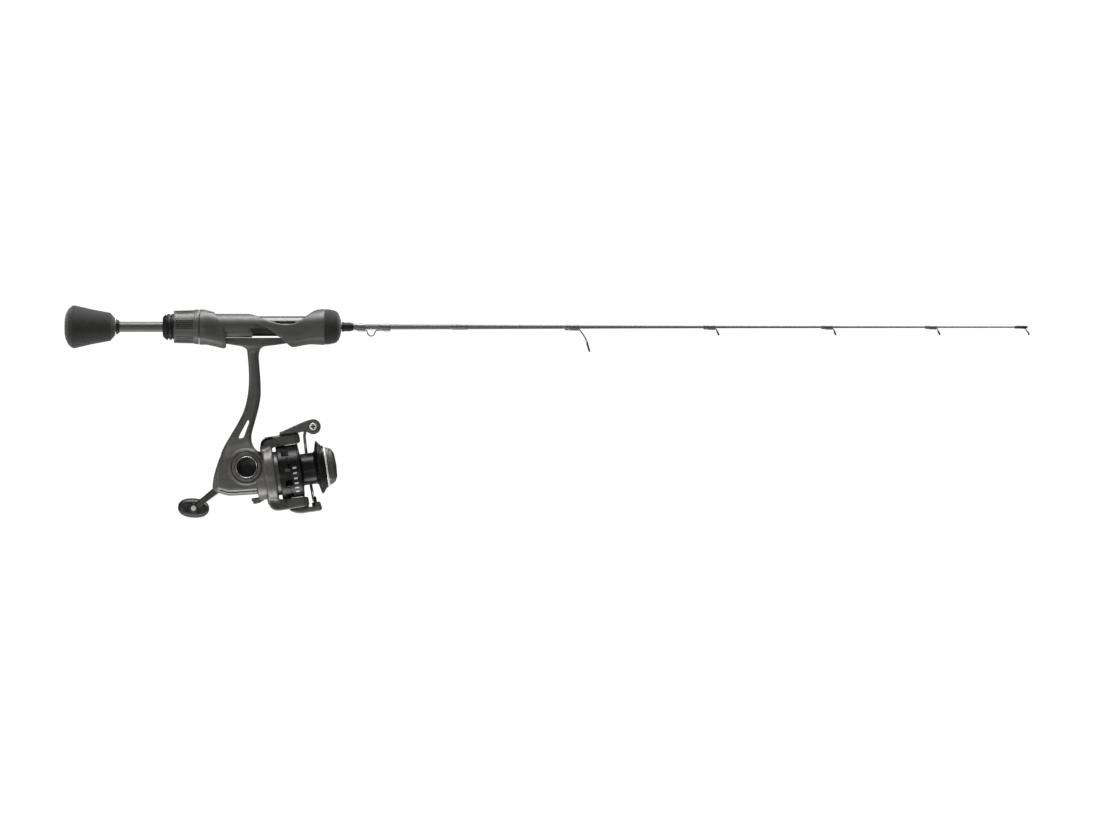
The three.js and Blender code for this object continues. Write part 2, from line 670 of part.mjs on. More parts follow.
// ---------------------------------------------------------------- crank
function crank() {
  const hub = { x: CRANK.x, z: CRANK.z };
  const angle = deg(CRANK_ANGLE);
  const end = {
    x: hub.x + CRANK_LENGTH * Math.cos(angle),
    z: hub.z + CRANK_LENGTH * Math.sin(angle),
  };
  place("crank_shaft", turnedY([
    [-13, 0], [-13, 2.6], [-12, 3], [17.5, 3], [17.5, 2.4], [32.4, 2.4], [32.4, 0],
  ], hub.x, hub.z, 20), FINISH.steel);
  place("screw_cap", turnedY([
    [-13.4, 0], [-13.4, 7], [-15.6, 7], [-16.2, 6.5], [-15.9, 5.9], [-15.2, 3], [-15, 0],
  ], hub.x, hub.z, 32), FINISH.glossBlack);

  // The arm leaves its hub square, sweeps outwards, and ends flat under the knob.
  const section = (u, y, halfWidth, halfThick) => {
    const corners = [
      [-1, -0.5], [-0.8, -1], [0.8, -1], [1, -0.5], [1, 0.5], [0.8, 1], [-0.8, 1], [-1, 0.5],
    ];
    return corners.map(([w, t]) => new THREE.Vector3(u, y + t * halfThick, w * halfWidth));
  };
  const bar = loft([
    section(0, 35.6, 4, 1.9), section(8, 35.8, 3.6, 1.8), section(18, 38.6, 3, 1.6),
    section(30, 43.2, 2.5, 1.5), section(38, 45.8, 2.3, 1.4), section(CRANK_LENGTH, 46.4, 2.3, 1.4),
  ]).rotateY(-angle).translate(hub.x, 0, hub.z);
  const arm = cut(
    joined(
      solid(bar),
      solid(discY(20, 38.2, 4.4, hub.x, hub.z, 20)),
      solid(discY(45, 48, 3.3, end.x, end.z, 16)),
    ),
    solid(discY(19, 32.7, 2.7, hub.x, hub.z, 16)),
    solid(discY(43, 50, 1.4, end.x, end.z, 14)),
  );
  place("crank_arm", arm, FINISH.glossBlack);
  place("knob_pin", turnedY([
    [43.6, 0], [43.6, 1.6], [44.7, 1.8], [44.7, 1.15], [65.2, 1.15], [65.2, 0],
  ], end.x, end.z, 14), FINISH.steel);

  // A flattened paddle that flares away from the arm.
  const paddle = (depth, halfLong, halfShort) => {
    const ring = [];
    for (let i = 0; i < 28; i += 1) {
      const a = (i / 28) * TAU;
      ring.push(new THREE.Vector3(halfLong * Math.cos(a), KNOB_Y + depth, halfShort * Math.sin(a)));
    }
    return ring;
  };
  const knob = loft([
    paddle(0, 8.4, 4.3), paddle(1.2, 9.3, 5.1), paddle(8, 9.2, 5),
    paddle(15, 10.3, 6.4), paddle(17.6, 9.7, 5.9), paddle(18.6, 7.4, 4.2),
  ]).rotateY(deg(4)).translate(end.x, 0, end.z);
  const pinHole = solid(discY(KNOB_Y - 2, KNOB_Y + 16.8, 1.45, end.x, end.z, 14));
  place("crank_knob", solid(knob).subtract(pinHole), FINISH.rubber);
}

// ---------------------------------------------------------------- rotor and bail, in the spool frame
function rotorArmShape() {
  const shape = new THREE.Shape();
  shape.moveTo(11, 15);
  shape.lineTo(11, 21.4);
  shape.bezierCurveTo(11.2, 23.6, 12.6, ARM_OUT_H, 15, ARM_OUT_H);
  shape.lineTo(36.6, ARM_OUT_H);
  shape.bezierCurveTo(38.2, 23.6, 38.2, 18.4, 36.6, ARM_IN_H);
  shape.lineTo(20.4, ARM_IN_H);
  shape.bezierCurveTo(19, 16.8, 18.3, 16.2, 18.3, 15);
  return shape;
}

// The arms seen from above: wide at the base, with a half round end about the bail's pivot.
function rotorArmPlan() {
  const wide = 6.2;
  const plan = new THREE.Shape();
  plan.moveTo(10, -wide);
  plan.lineTo(22, -wide);
  plan.lineTo(27, -ARM_END_R);
  plan.lineTo(PIVOT_S, -ARM_END_R);
  plan.absarc(PIVOT_S, 0, ARM_END_R, -Math.PI / 2, Math.PI / 2, false);
  plan.lineTo(27, ARM_END_R);
  plan.lineTo(22, wide);
  plan.lineTo(10, wide);
  return new THREE.ExtrudeGeometry(plan, { depth: 60, bevelEnabled: false, curveSegments: 10 })
    .translate(0, 0, -30);
}

function rotor() {
  const base = solid(turned([
    [11, 17], [11, 19.2], [11.8, 20], [17.4, 20], [18.3, 19.1], [18.3, 14.4], [24.3, 14.4],
    [24.3, 2.9], [22.3, 2.9], [22.3, 12], [15.8, 12], [15.8, 17],
  ], 32));
  const armPlate = plate(rotorArmShape(), -6.2, 6.2, 4);
  const plan = solid(rotorArmPlan());
  const upper = solid(armPlate.clone()).intersect(plan);
  const lower = solid(armPlate.clone().rotateX(Math.PI)).intersect(plan);
  const pivotHole = (side) => discH(19.6, 25, 1.5, PIVOT_S, 0, 14).scale(1, 1, side);
  const springBay = box(14.6, 28, -3, 3, 20.4, 26);
  return cut(
    joined(base, upper, lower),
    solid(disc(18.6, 45, 18.2, 32)),
    solid(disc(10, 15.8, 17, 32)),
    solid(pivotHole(1)),
    solid(pivotHole(1).rotateX(Math.PI)),
    solid(springBay),
  );
}

const ROLLER = { s: 47.1, h: 27 };
const BAIL_WIRE = {
  reach: 34, tall: 24.4, planeS: 40.4, firstAngle: 58, lastAngle: -56, squareness: 0.714, wireR: 0.95,
};

function bail() {
  const lever = new THREE.Shape();
  lever.moveTo(25, 24.8);
  lever.lineTo(40.6, 24.8);
  lever.bezierCurveTo(42.4, 24.4, 42.6, 22.2, 45, 22.4);
  lever.absarc(ROLLER.s, ROLLER.h, 5.05, deg(-115), deg(102), false);
  lever.bezierCurveTo(41, 31, 33, 28.6, 25, 26.2);
  const cheek = solid(plate(lever, -6.4, -3.4, 7));
  const root = outline([[25, 24.8], [40.6, 24.8], [40.6, 28.4], [33, 27.8], [25, 26.2]]);
  place("bail_arm", cut(
    joined(cheek, solid(plate(root, -6.4, 4)), solid(discH(20.4, 25.2, 1.2, PIVOT_S))),
    solid(discY(-7, -3, 1.7, ROLLER.s, ROLLER.h, 14)),
  ), FINISH.reelPaint, spoolGroup);
  place("roller_screw", turnedY([
    [-7, 0], [-7, 2.2], [-6.6, 2.5], [-6.6, 1.4], [6.9, 1.4], [6.9, 0],
  ], ROLLER.s, ROLLER.h, 16), FINISH.steel, spoolGroup);
  place("line_roller", turnedY([
    [-3.1, 1.7], [-3.1, 3.3], [-1.2, 2.5], [0.6, 2.3], [2.4, 2.7], [3.3, 3.3], [3.3, 1.7],
  ], ROLLER.s, ROLLER.h, 20), FINISH.steel, spoolGroup);

  const holder = new THREE.Shape();
  holder.moveTo(24.6, -24.8);
  holder.lineTo(44.2, -24.8);
  holder.bezierCurveTo(45.8, -25, 45.6, -27.9, 43.4, -28.2);
  holder.lineTo(32, -28.2);
  holder.bezierCurveTo(29, -28, 26, -26.8, 24.6, -25.6);
  const socketS = 41.6;
  const inwards = (geometry) => solid(geometry.rotateX(Math.PI));
  place("bail_holder", cut(
    joined(
      solid(plate(holder, -4.4, 4.4)),
      inwards(discH(20.4, 25.2, 1.2, PIVOT_S)),
      inwards(discH(22.4, 25.2, 3, socketS, 0, 18)),
    ),
    inwards(discH(22, 24, 1.3, socketS, 0, 14)),
  ), FINISH.reelPaint, spoolGroup);

  // The wire runs from the roller's cone round the spool's far side to the holder.
  const { reach, tall, planeS, firstAngle, lastAngle, squareness, wireR } = BAIL_WIRE;
  const arc = [];
  const steps = 12;
  for (let i = 0; i <= steps; i += 1) {
    const a = deg(firstAngle + ((lastAngle - firstAngle) * i) / steps);
    const y = reach * Math.abs(Math.cos(a)) ** squareness;
    const h = tall * Math.sign(Math.sin(a)) * Math.abs(Math.sin(a)) ** squareness;
    arc.push([planeS + 0.6 * Math.sin(a) ** 2, y, h]);
  }
  const path = [
    [ROLLER.s, 7.4, ROLLER.h], [ROLLER.s - 0.6, 11, ROLLER.h - 0.4], [43.6, 17, 25.2], ...arc,
    [41.2, 9, -19.6], [socketS, 2.6, -19.4], [socketS, 0, -20.8], [socketS, 0, -23.6],
  ];
  const cone = solid(turnedY([
    [3.6, 0], [3.6, 3.2], [4.6, 3.4], [8, 1.7], [8.8, 0],
  ], ROLLER.s, ROLLER.h, 18));
  const screwHole = solid(discY(3, 7.1, 1.6, ROLLER.s, ROLLER.h, 14));
  const bow = solid(wire(path, wireR, 34, 6));
  place("bail_wire", cut(joined(cone, bow), screwHole), FINISH.glossBlack, spoolGroup);
}

function rotorGroup() {
  place("rotor", rotor(), FINISH.reelPaint, spoolGroup);
  place("rotor_nut", cut(
    solid(disc(24.7, 27.2, 4.6, 6)),
    solid(disc(24, 28, 1.9, 16)),
  ), FINISH.brass, spoolGroup);
  place("bail_spring", turned([
    [16.4, 0], [16.4, 1.4], [27, 1.4], [27, 0],
  ], 12).translate(0, 0, 22), FINISH.steel, spoolGroup);
  place("spring_cover", box(14.9, 27.7, -2.7, 2.7, 23.6, 24.6), FINISH.glossBlack, spoolGroup);
}

// ---------------------------------------------------------------- shaft, spool and drag, in the spool frame
function spoolGroupPieces() {
  place("main_shaft", disc(-16, 56, 1.5, 16), FINISH.steel, spoolGroup);
  const sliderS = OSC.s + OSC.throw * Math.cos(deg(OSC.phase));
  place("slider", cut(
    solid(box(sliderS - 2.2, sliderS + 2.2, -2.1, 2.1, -4, 10)),
    solid(disc(-20, 0, 1.65, 16)),
    solid(box(sliderS - 1.5, sliderS + 1.5, -3, -0.9, -2.2, 9.4)),
  ), FINISH.zinc, spoolGroup);
  place("spool", turned([
    [20.6, 16.4], [20.6, 17.3], [21.2, SKIRT_R], [33.9, SKIRT_R], [34.2, 17.9], [34.8, 17.9],
    [35.3, 17], [35.6, 11.2], [36.2, 10.4], [44.4, 10.4], [45.4, 11.3], [46.8, 17], [47.3, 17.5],
    [47.9, 17.5], [49, 15.4], [51.4, 13.8], [51.4, 9.2], [42.5, 9.2], [42.5, 1.8], [30.5, 1.8],
    [30.5, 5.2], [33, 5.2], [33, 16.4],
  ], 32), FINISH.glossBlack, spoolGroup);
  place("drag_washers", tube(42.8, 49, 8.9, 1.8, 20), FINISH.zinc, spoolGroup);
  place("spool_lip_ring", turned([
    [51.7, 12.8], [51.7, 13.7], [52.3, 13.5], [52.7, 12.8],
  ], 32), FINISH.steel, spoolGroup);
  place("drag_knob", turned([
    [56.3, 0], [56.3, 1.8], [49.4, 1.8], [49.4, 5], [52.9, 5], [52.9, 12.5], [54.4, 12.6],
    [56.6, 11.3], [58.2, 7.8], [58.7, 0],
  ], 28), FINISH.reelPaint, spoolGroup);
}

handle();
seat();
blankAndGuides();
reelBody();
gearTrain();
crank();
rotorGroup();
bail();
spoolGroupPieces();

export default part;
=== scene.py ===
import functools
import json
import math

import bpy
import numpy as np
from mathutils import Matrix, Vector


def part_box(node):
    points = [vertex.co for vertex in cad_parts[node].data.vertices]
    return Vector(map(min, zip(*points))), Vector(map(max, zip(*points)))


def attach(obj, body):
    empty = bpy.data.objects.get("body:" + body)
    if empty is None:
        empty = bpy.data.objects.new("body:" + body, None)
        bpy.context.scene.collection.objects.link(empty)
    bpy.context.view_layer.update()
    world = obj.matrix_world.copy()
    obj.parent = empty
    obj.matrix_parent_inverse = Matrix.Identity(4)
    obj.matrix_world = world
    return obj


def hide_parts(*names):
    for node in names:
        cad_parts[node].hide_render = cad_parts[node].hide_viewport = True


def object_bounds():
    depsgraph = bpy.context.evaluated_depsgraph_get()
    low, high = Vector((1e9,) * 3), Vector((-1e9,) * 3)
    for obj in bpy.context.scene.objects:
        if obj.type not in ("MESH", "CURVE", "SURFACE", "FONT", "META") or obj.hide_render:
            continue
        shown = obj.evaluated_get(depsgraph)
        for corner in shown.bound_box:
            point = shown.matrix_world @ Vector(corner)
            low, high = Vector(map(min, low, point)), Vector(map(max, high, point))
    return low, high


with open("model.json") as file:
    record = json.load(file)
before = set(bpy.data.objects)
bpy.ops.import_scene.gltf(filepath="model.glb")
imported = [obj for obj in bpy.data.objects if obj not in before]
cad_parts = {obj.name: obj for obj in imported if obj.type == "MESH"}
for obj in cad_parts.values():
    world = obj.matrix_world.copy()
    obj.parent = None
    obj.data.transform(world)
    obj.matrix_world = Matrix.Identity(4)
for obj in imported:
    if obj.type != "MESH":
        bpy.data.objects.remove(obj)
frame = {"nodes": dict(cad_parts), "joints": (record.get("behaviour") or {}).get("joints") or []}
cad_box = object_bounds()

# Lengths in this script are millimetres until a mesh is made, in one of two frames: the rod's, which is the
# CAD's own, or the reel's, with s along the spool's axis, y across and h away from the axis. Only the camera,
# the floor and the lamps are placed in metres.
MM = 0.001
QUARTER = math.pi / 2
joints = {joint["name"]: joint for joint in frame["joints"]}
CRANK = Vector(joints["crank_turn"]["pos_m"]) / MM
PIN = Vector(joints["knob_spin"]["pos_m"]) / MM
SPOOL_AXIS = Vector(joints["spool_slip"]["axis"]).normalized()
SPOOL_MIDDLE_S = 40
SPOOL_ORIGIN = Vector(joints["spool_slip"]["pos_m"]) / MM - SPOOL_AXIS * SPOOL_MIDDLE_S
ROD = Matrix.Identity(4)
REEL = Matrix.Translation(SPOOL_ORIGIN) @ Matrix(
    (SPOOL_AXIS, (0, 1, 0), SPOOL_AXIS.cross(Vector((0, 1, 0))))
).transposed().to_4x4()


def sideways(point, side=1):
    """A frame at the point, whose x runs along +Y, or along -Y where side is -1."""
    return Matrix.Translation(point) @ Matrix.Rotation(side * QUARTER, 4, "Z")


def rod_to_reel(x, z):
    point = REEL.inverted() @ Vector((x, 0, z))
    return point.x, point.z


def new_object(name, data):
    obj = bpy.data.objects.new(name, data)
    bpy.context.scene.collection.objects.link(obj)
    return obj


def add_node(tree, kind, inputs=None, **settings):
    """A shader node. Each input is given a value, or a link from another node's socket."""
    node = tree.nodes.new("ShaderNode" + kind)
    for name, value in settings.items():
        setattr(node, name, value)
    for name, value in (inputs or {}).items():
        if isinstance(value, bpy.types.NodeSocket):
            tree.links.new(value, node.inputs[name])
        else:
            node.inputs[name].default_value = value
    return node


def new_material(name, inputs):
    material = bpy.data.materials.new(name)
    material.use_nodes = True
    shader = material.node_tree.nodes["Principled BSDF"]
    for socket, value in inputs.items():
        shader.inputs[socket].default_value = value
    return material, shader


# ------------------------------------------------------------------ camera, floor and light
BACKDROP = 1.05  # a little over white, for the camera only
WORLD_LIGHT = 0.07
FLOOR_DROP = 0.3  # metres below the lowest point
FLOOR_HALF = 30


def add_camera():
    picture_width = 0.7218  # metres that the picture spans at the rod
    centre = Vector((0.1945, 0, -0.0559))
    yaw = math.radians(-2)
    data = bpy.data.cameras.new("camera")
    data.lens = 300
    data.clip_end = 100
    distance = data.lens / data.sensor_width * picture_width
    camera = new_object("camera", data)
    camera.location = centre + Vector((math.sin(yaw), -math.cos(yaw), 0)) * distance
    camera.rotation_euler = (QUARTER, 0, yaw)
    bpy.context.scene.camera = camera


def white_to_camera(tree, kind, lit, out):
    """The camera sees plain white, and every other ray meets the lit shader."""
    white = add_node(tree, kind, {"Color": (1, 1, 1, 1), "Strength": BACKDROP})
    seen = add_node(tree, "LightPath").outputs["Is Camera Ray"]
    mix = add_node(tree, "MixShader", {0: seen, 1: lit.outputs[0], 2: white.outputs[0]})
    tree.links.new(mix.outputs[0], out.inputs[0])


def white_world():
    world = bpy.data.worlds.new("studio")
    world.use_nodes = True
    bpy.context.scene.world = world
    tree = world.node_tree
    tree.nodes.clear()
    light = add_node(tree, "Background", {"Color": (0.97, 0.98, 1, 1), "Strength": WORLD_LIGHT})
    white_to_camera(tree, "Background", light, add_node(tree, "OutputWorld"))


def pale_floor():
    depth = cad_box[0].z - FLOOR_DROP
    mesh = bpy.data.meshes.new("floor")
    corners = [(x * FLOOR_HALF, y * FLOOR_HALF, depth) for x, y in ((-1, -1), (1, -1), (1, 1), (-1, 1))]
    mesh.from_pydata(corners, [], [(0, 1, 2, 3)])
    floor = new_object("floor", mesh)
    material, shader = new_material("floor_white", {"Base Color": (0.4, 0.4, 0.4, 1), "Roughness": 0.9})
    tree = material.node_tree
    white_to_camera(tree, "Emission", shader, tree.nodes["Material Output"])
    mesh.materials.append(material)


def softbox(name, location, target, size, power):
    data = bpy.data.lights.new(name, "AREA")
    data.shape = "RECTANGLE"
    data.size, data.size_y = size
    data.energy = power
    lamp = new_object(name, data)
    lamp.location = location
    lamp.rotation_euler = (Vector(target) - Vector(location)).to_track_quat("-Z", "Y").to_euler()
    lamp.visible_camera = False


bpy.context.scene.view_settings.view_transform = "Standard"
add_camera()
white_world()
pale_floor()
softbox("top_light", (0.1, 0.05, 1.4), (0.15, 0, 0), (1.8, 0.7), 54)
softbox("front_fill", (-0.1, -2.4, 0.6), (0.1, 0, -0.05), (1.2, 0.8), 2.4)
softbox("low_rim", (-0.4, -0.7, -0.37), (0, 0, -0.06), (1.4, 0.25), 3.5)
softbox("under_reel", (-0.02, -0.02, -0.4), (-0.02, -0.02, -0.1), (0.3, 0.14), 1.1)
softbox("left_strip", (-1.2, -0.1, -0.1), (0, 0, -0.09), (0.3, 0.4), 1.8)
softbox("back_fill", (0.2, 2.2, 0.5), (0.1, 0, -0.05), (1.2, 0.8), 5)
softbox("right_strip", (1.1, -0.3, -0.02), (0, 0, -0.05), (0.25, 0.4), 0.7)


# ------------------------------------------------------------------ materials
WORN_AND_HIGHLIT_EDGE = (0.53, 0.62)  # the pointiness that the lighter edges, worn paint and painted highlight, start and end at


def surface(name, color, roughness, metallic=0.0, coat=0.0, sheen=0.0, grain=None, mottle=0.12,
            mottle_size=4.0, wear_and_edge_highlight=0.0, lines=None, uneven=0.08, specular=0.5):
    """A procedural surface. grain is (size, depth) in mm, and lines is (pitch, depth) in mm along X in its
    place. mottle is the share that the colour varies by, and the edge amount lightens convex edges, partly
    as worn paint and partly as a painted highlight along them."""
    material, shader = new_material(name, {
        "Metallic": metallic, "Coat Weight": coat, "Coat Roughness": 0.08, "Sheen Weight": sheen,
        "Specular IOR Level": specular,
    })
    tree = material.node_tree
    where = add_node(tree, "TexCoord").outputs["Object"]

    def noise(size_mm, detail):
        inputs = {"Scale": 1 / (size_mm * MM), "Detail": detail, "Vector": where}
        return add_node(tree, "TexNoise", inputs).outputs[0]

    def remap(value, low, high, start=0.3, stop=0.7):
        inputs = {"From Min": start, "From Max": stop, "To Min": low, "To Max": high, "Value": value}
        return add_node(tree, "MapRange", inputs).outputs[0]

    def mixed(factor, a, b):
        return add_node(tree, "Mix", {0: factor, 6: a, 7: b}, data_type="RGBA").outputs[2]

    def shade(scale, extra=0):
        return (*(min(1, c * scale + extra) for c in color), 1)

    tint = mixed(remap(noise(mottle_size, 3), 0, 1), shade(1 - mottle), shade(1 + mottle))
    if grain:
        tint = mixed(remap(noise(grain[0] * 1.7, 2), 0, 0.6, 0.55, 0.75), tint, shade(1 + 2.2 * mottle))
    # Convex edges made lighter: partly worn paint, partly a painted highlight along the edges.
    if wear_and_edge_highlight:
        pointed = add_node(tree, "NewGeometry").outputs["Pointiness"]
        tint = mixed(remap(pointed, 0, wear_and_edge_highlight, *WORN_AND_HIGHLIT_EDGE), tint, shade(2.6, 0.05))
    tree.links.new(tint, shader.inputs["Base Color"])
    rough = remap(noise(mottle_size * 0.4, 4), max(0.02, roughness - uneven), min(1, roughness + uneven))
    tree.links.new(rough, shader.inputs["Roughness"])
    if lines:
        scale = 2 * math.pi / (20 * lines[0] * MM)
        wave = add_node(tree, "TexWave", {"Scale": scale, "Distortion": 0.6, "Detail": 1, "Vector": where},
                        bands_direction="X")
        height, depth = wave.outputs[1], lines[1]
    elif grain:
        height, depth = noise(grain[0], 2), grain[1]
    if lines or grain:
        bump = add_node(tree, "Bump", {"Distance": depth * MM, "Strength": 1, "Height": height})
        tree.links.new(bump.outputs[0], shader.inputs["Normal"])
    return material


FINISH = {
    "foam": surface("eva_foam", (0.014, 0.0135, 0.0125), 0.85, sheen=0.25, grain=(0.5, 0.1), mottle=0.3,
                    mottle_size=2.5, specular=0.3),
    "soft_touch": surface("soft_touch", (0.046, 0.045, 0.041), 0.46, grain=(0.22, 0.012), mottle=0.08,
                          wear_and_edge_highlight=0.25),
    "reel_paint": surface("reel_paint", (0.070, 0.068, 0.062), 0.4, metallic=0.25, coat=0.1,
                          grain=(0.16, 0.008), mottle=0.1, wear_and_edge_highlight=0.3),
    "drag_paint": surface("drag_paint", (0.055, 0.055, 0.052), 0.36, metallic=0.2, grain=(0.2, 0.003),
                          mottle=0.08, wear_and_edge_highlight=0.4),
    "rubber": surface("black_rubber", (0.006, 0.006, 0.0055), 0.5, grain=(0.3, 0.01), mottle=0.2,
                      specular=0.25),
    "blank": surface("clear_coated_blank", (0.10, 0.10, 0.095), 0.42, coat=0.1, grain=(0.5, 0.002),
                     mottle=0.1, mottle_size=6, specular=0.35),
    "tube": surface("painted_tube", (0.04, 0.041, 0.034), 0.42, coat=0.1, grain=(0.3, 0.006), mottle=0.1),
    "core": surface("core_sleeve", (0.035, 0.035, 0.034), 0.35, coat=0.2, grain=(0.3, 0.006)),
    "thread_wrap": surface("thread_wrap", (0.075, 0.074, 0.07), 0.25, coat=0.9, lines=(0.16, 0.03),
                           mottle=0.15, mottle_size=1.2),
    "gloss_black": surface("gloss_black", (0.003, 0.003, 0.0028), 0.32, mottle=0.2, wear_and_edge_highlight=0.1, uneven=0.05,
                           grain=(0.8, 0.001), specular=0.2),
    "satin_black": surface("satin_black", (0.012, 0.012, 0.011), 0.4, grain=(0.2, 0.004), wear_and_edge_highlight=0.2,
                           specular=0.3),
    "knob_rubber": surface("knob_rubber", (0.010, 0.010, 0.009), 0.4, grain=(0.4, 0.004), mottle=0.15,
                           wear_and_edge_highlight=0.1, specular=0.35),
    "dark_metal": surface("dark_metal", (0.05, 0.05, 0.048), 0.22, metallic=0.9, grain=(0.15, 0.002)),
    "wire": surface("dark_wire", (0.06, 0.06, 0.058), 0.3, metallic=0.8, grain=(0.15, 0.003), mottle=0.15),
    "ceramic": surface("guide_ceramic", (0.012, 0.012, 0.012), 0.1, coat=0.8, mottle=0.1, uneven=0.03),
    "steel": surface("polished_steel", (0.62, 0.61, 0.59), 0.28, metallic=1.0, grain=(0.3, 0.0008),
                     mottle=0.06, uneven=0.04),
    "satin_steel": surface("satin_steel", (0.5, 0.5, 0.49), 0.42, metallic=0.8, grain=(0.3, 0.001),
                           mottle=0.1),
    "plated": surface("plated_steel", (0.72, 0.71, 0.69), 0.4, metallic=0.3, grain=(0.3, 0.001), mottle=0.08),
    "brass": surface("machined_brass", (0.55, 0.38, 0.14), 0.28, metallic=1.0, grain=(0.1, 0.004),
                     mottle=0.1),
    "zinc": surface("cast_zinc", (0.34, 0.35, 0.36), 0.42, metallic=0.9, grain=(0.25, 0.015)),
    "print": surface("pad_print", (0.42, 0.42, 0.41), 0.45, grain=(0.2, 0.004), mottle=0.08),
}


# ------------------------------------------------------------------ mesh making
def settle(obj):
    """Gives the object the mesh that its modifiers make."""
    before, name = obj.data, obj.data.name
    mesh = bpy.data.meshes.new_from_object(obj.evaluated_get(bpy.context.evaluated_depsgraph_get()))
    obj.modifiers.clear()
    obj.data = mesh
    bpy.data.meshes.remove(before)
    mesh.name = name
    return mesh


def piece(name, verts, faces, body, slot, finish, replaces=None, matrix=ROD, sharp=38, reduce=None):
    """Makes an object from millimetre vertices in the frame that the matrix gives, riding on a body. It
    replaces the CAD node that has its name, or the nodes in replaces."""
    placed = np.asarray(verts, float) @ np.array(matrix.to_3x3()).T + np.array(matrix.translation)
    mesh = bpy.data.meshes.new(name)
    mesh.from_pydata((placed * MM).tolist(), [], [list(f) for f in faces])
    mesh.validate()
    obj = new_object(name, mesh)
    if reduce:
        ease = obj.modifiers.new("ease", "SMOOTH")
        ease.factor, ease.iterations = 0.5, 3
        obj.modifiers.new("fewer", "DECIMATE").ratio = reduce
        mesh = settle(obj)
    mesh.shade_smooth()
    mesh.set_sharp_from_angle(angle=math.radians(sharp))
    mesh.materials.append(FINISH[finish])
    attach(obj, body)
    if name in frame["nodes"]:
        replaces = [name]
    if replaces:
        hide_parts(*replaces)
    return obj


def soften(points, radius, steps=4, closed=False):
    """The same outline with each corner rounded; a point's own third number overrides the radius."""
    made = []
    count = len(points)
    for i, point in enumerate(points):
        here = Vector(point[:2])
        r = point[2] if len(point) > 2 else radius
        if r == 0 or (not closed and i in (0, count - 1)):
            made.append(tuple(here))
            continue
        before = Vector(points[i - 1][:2]) - here
        after = Vector(points[(i + 1) % count][:2]) - here
        turn = math.pi - before.angle(after, math.pi)
        if turn < 0.05:
            made.append(tuple(here))
            continue
        reach = min(r * math.tan(turn / 2), 0.45 * before.length, 0.45 * after.length)
        a, b = here + before.normalized() * reach, here + after.normalized() * reach
        for k in range(steps + 1):
            t = k / steps
            made.append(tuple(a * (1 - t) ** 2 + here * 2 * t * (1 - t) + b * t * t))
    return made


def flow(points, per_span=8, closed=False):
    """A smooth curve through the points."""
    pts = [Vector(p) for p in points]
    count = len(pts)
    spans = count if closed else count - 1
    made = []
    for i in range(spans):
        p1, p2 = pts[i], pts[(i + 1) % count]
        p0 = pts[i - 1] if closed or i else p1 * 2 - p2
        p3 = pts[(i + 2) % count] if closed or i + 2 < count else p2 * 2 - p1
        for k in range(per_span):
            t = k / per_span
            made.append(0.5 * (2 * p1 + (p2 - p0) * t + (2 * p0 - 5 * p1 + 4 * p2 - p3) * t * t
                               + (3 * p1 - p0 - 3 * p2 + p3) * t ** 3))
    if not closed:
        made.append(pts[-1])
    return [tuple(p) for p in made]


def bezier(p0, p1, p2, p3, steps=10):
    a, b, c, d = (Vector(p) for p in (p0, p1, p2, p3))
    made = []
    for k in range(steps + 1):
        t = k / steps
        made.append(tuple(a * (1 - t) ** 3 + b * 3 * t * (1 - t) ** 2 + c * 3 * t * t * (1 - t) + d * t ** 3))
    return made


def trace(start, *moves):
    """An outline: each move is a point to go straight to, or three points of a cubic curve."""
    made = [start]
    for move in moves:
        if isinstance(move[0], tuple):
            made += bezier(made[-1], *move)[1:]
        else:
            made.append(move)
    return made


def lathe(profile, around=72, shape=None, angles=None):
    """A surface of revolution about x. A profile of (x, r) starts and ends on the axis, or is closed.
    shape(x, r, angle) may change the radius."""
    angles = angles or [2 * math.pi * i / around for i in range(around)]
    around = len(angles)
    on_axis = profile[0][1] == 0 and profile[-1][1] == 0
    verts, rows = [], []
    for x, r in profile:
        if r == 0:
            rows.append([len(verts)] * around)
            verts.append((x, 0, 0))
            continue
        rows.append(list(range(len(verts), len(verts) + around)))
        for a in angles:
            radius = shape(x, r, a) if shape else r
            verts.append((x, radius * math.cos(a), radius * math.sin(a)))
    pairs = list(zip(rows, rows[1:]))
    if not on_axis:
        pairs.append((rows[-1], rows[0]))
    faces = []
    for low, high in pairs:
        for i in range(around):
            j = (i + 1) % around
            corners = []
            for v in (low[i], low[j], high[j], high[i]):
                if v not in corners:
                    corners.append(v)
            if len(corners) > 2:
                faces.append(corners)
    area = sum(x0 * r1 - x1 * r0 for (x0, r0), (x1, r1) in zip(profile, profile[1:] + profile[:1]))
    if area > 0:
        faces = [f[::-1] for f in faces]
    return verts, faces


def ring_profile(x0, x1, inner, outer, edge=0.3):
    return soften([(x0, inner), (x0, outer), (x1, outer), (x1, inner)], edge, closed=True)


def spin(points, edge, around=72, steps=4, **options):
    """A turned shape from a profile with its corners rounded; off the axis, the profile is closed."""
    return lathe(soften(points, edge, steps, closed=points[0][1] > 0), around, **options)


def sweep(path, radius, sides=14):
    """A round wire along a path, with domed ends."""
    pts = [Vector(p) for p in path]
    along = [(pts[min(i + 1, len(pts) - 1)] - pts[max(i - 1, 0)]).normalized() for i in range(len(pts))]
    side = along[0].orthogonal().normalized()
    if abs(along[0].y) < 0.9:
        side = (Vector((0, 1, 0)) - along[0] * along[0].y).normalized()
    rings = []

    def ring(centre, direction, r):
        up = direction.cross(side)
        rings.append([
            centre + side * (r * math.cos(a)) + up * (r * math.sin(a))
            for a in (2 * math.pi * k / sides for k in range(sides))
        ])

    dome = [(0.9, 0.35), (0.6, 0.8), (0.25, 0.97)]  # how far out, and how wide
    for step, share in dome:
        ring(pts[0] - along[0] * radius * step * 0.8, along[0], radius * share)
    for point, direction in zip(pts, along):
        side = (side - direction * side.dot(direction)).normalized()
        ring(point, direction, radius)
    for step, share in reversed(dome):
        ring(pts[-1] + along[-1] * radius * step * 0.8, along[-1], radius * share)
    return loft(rings)


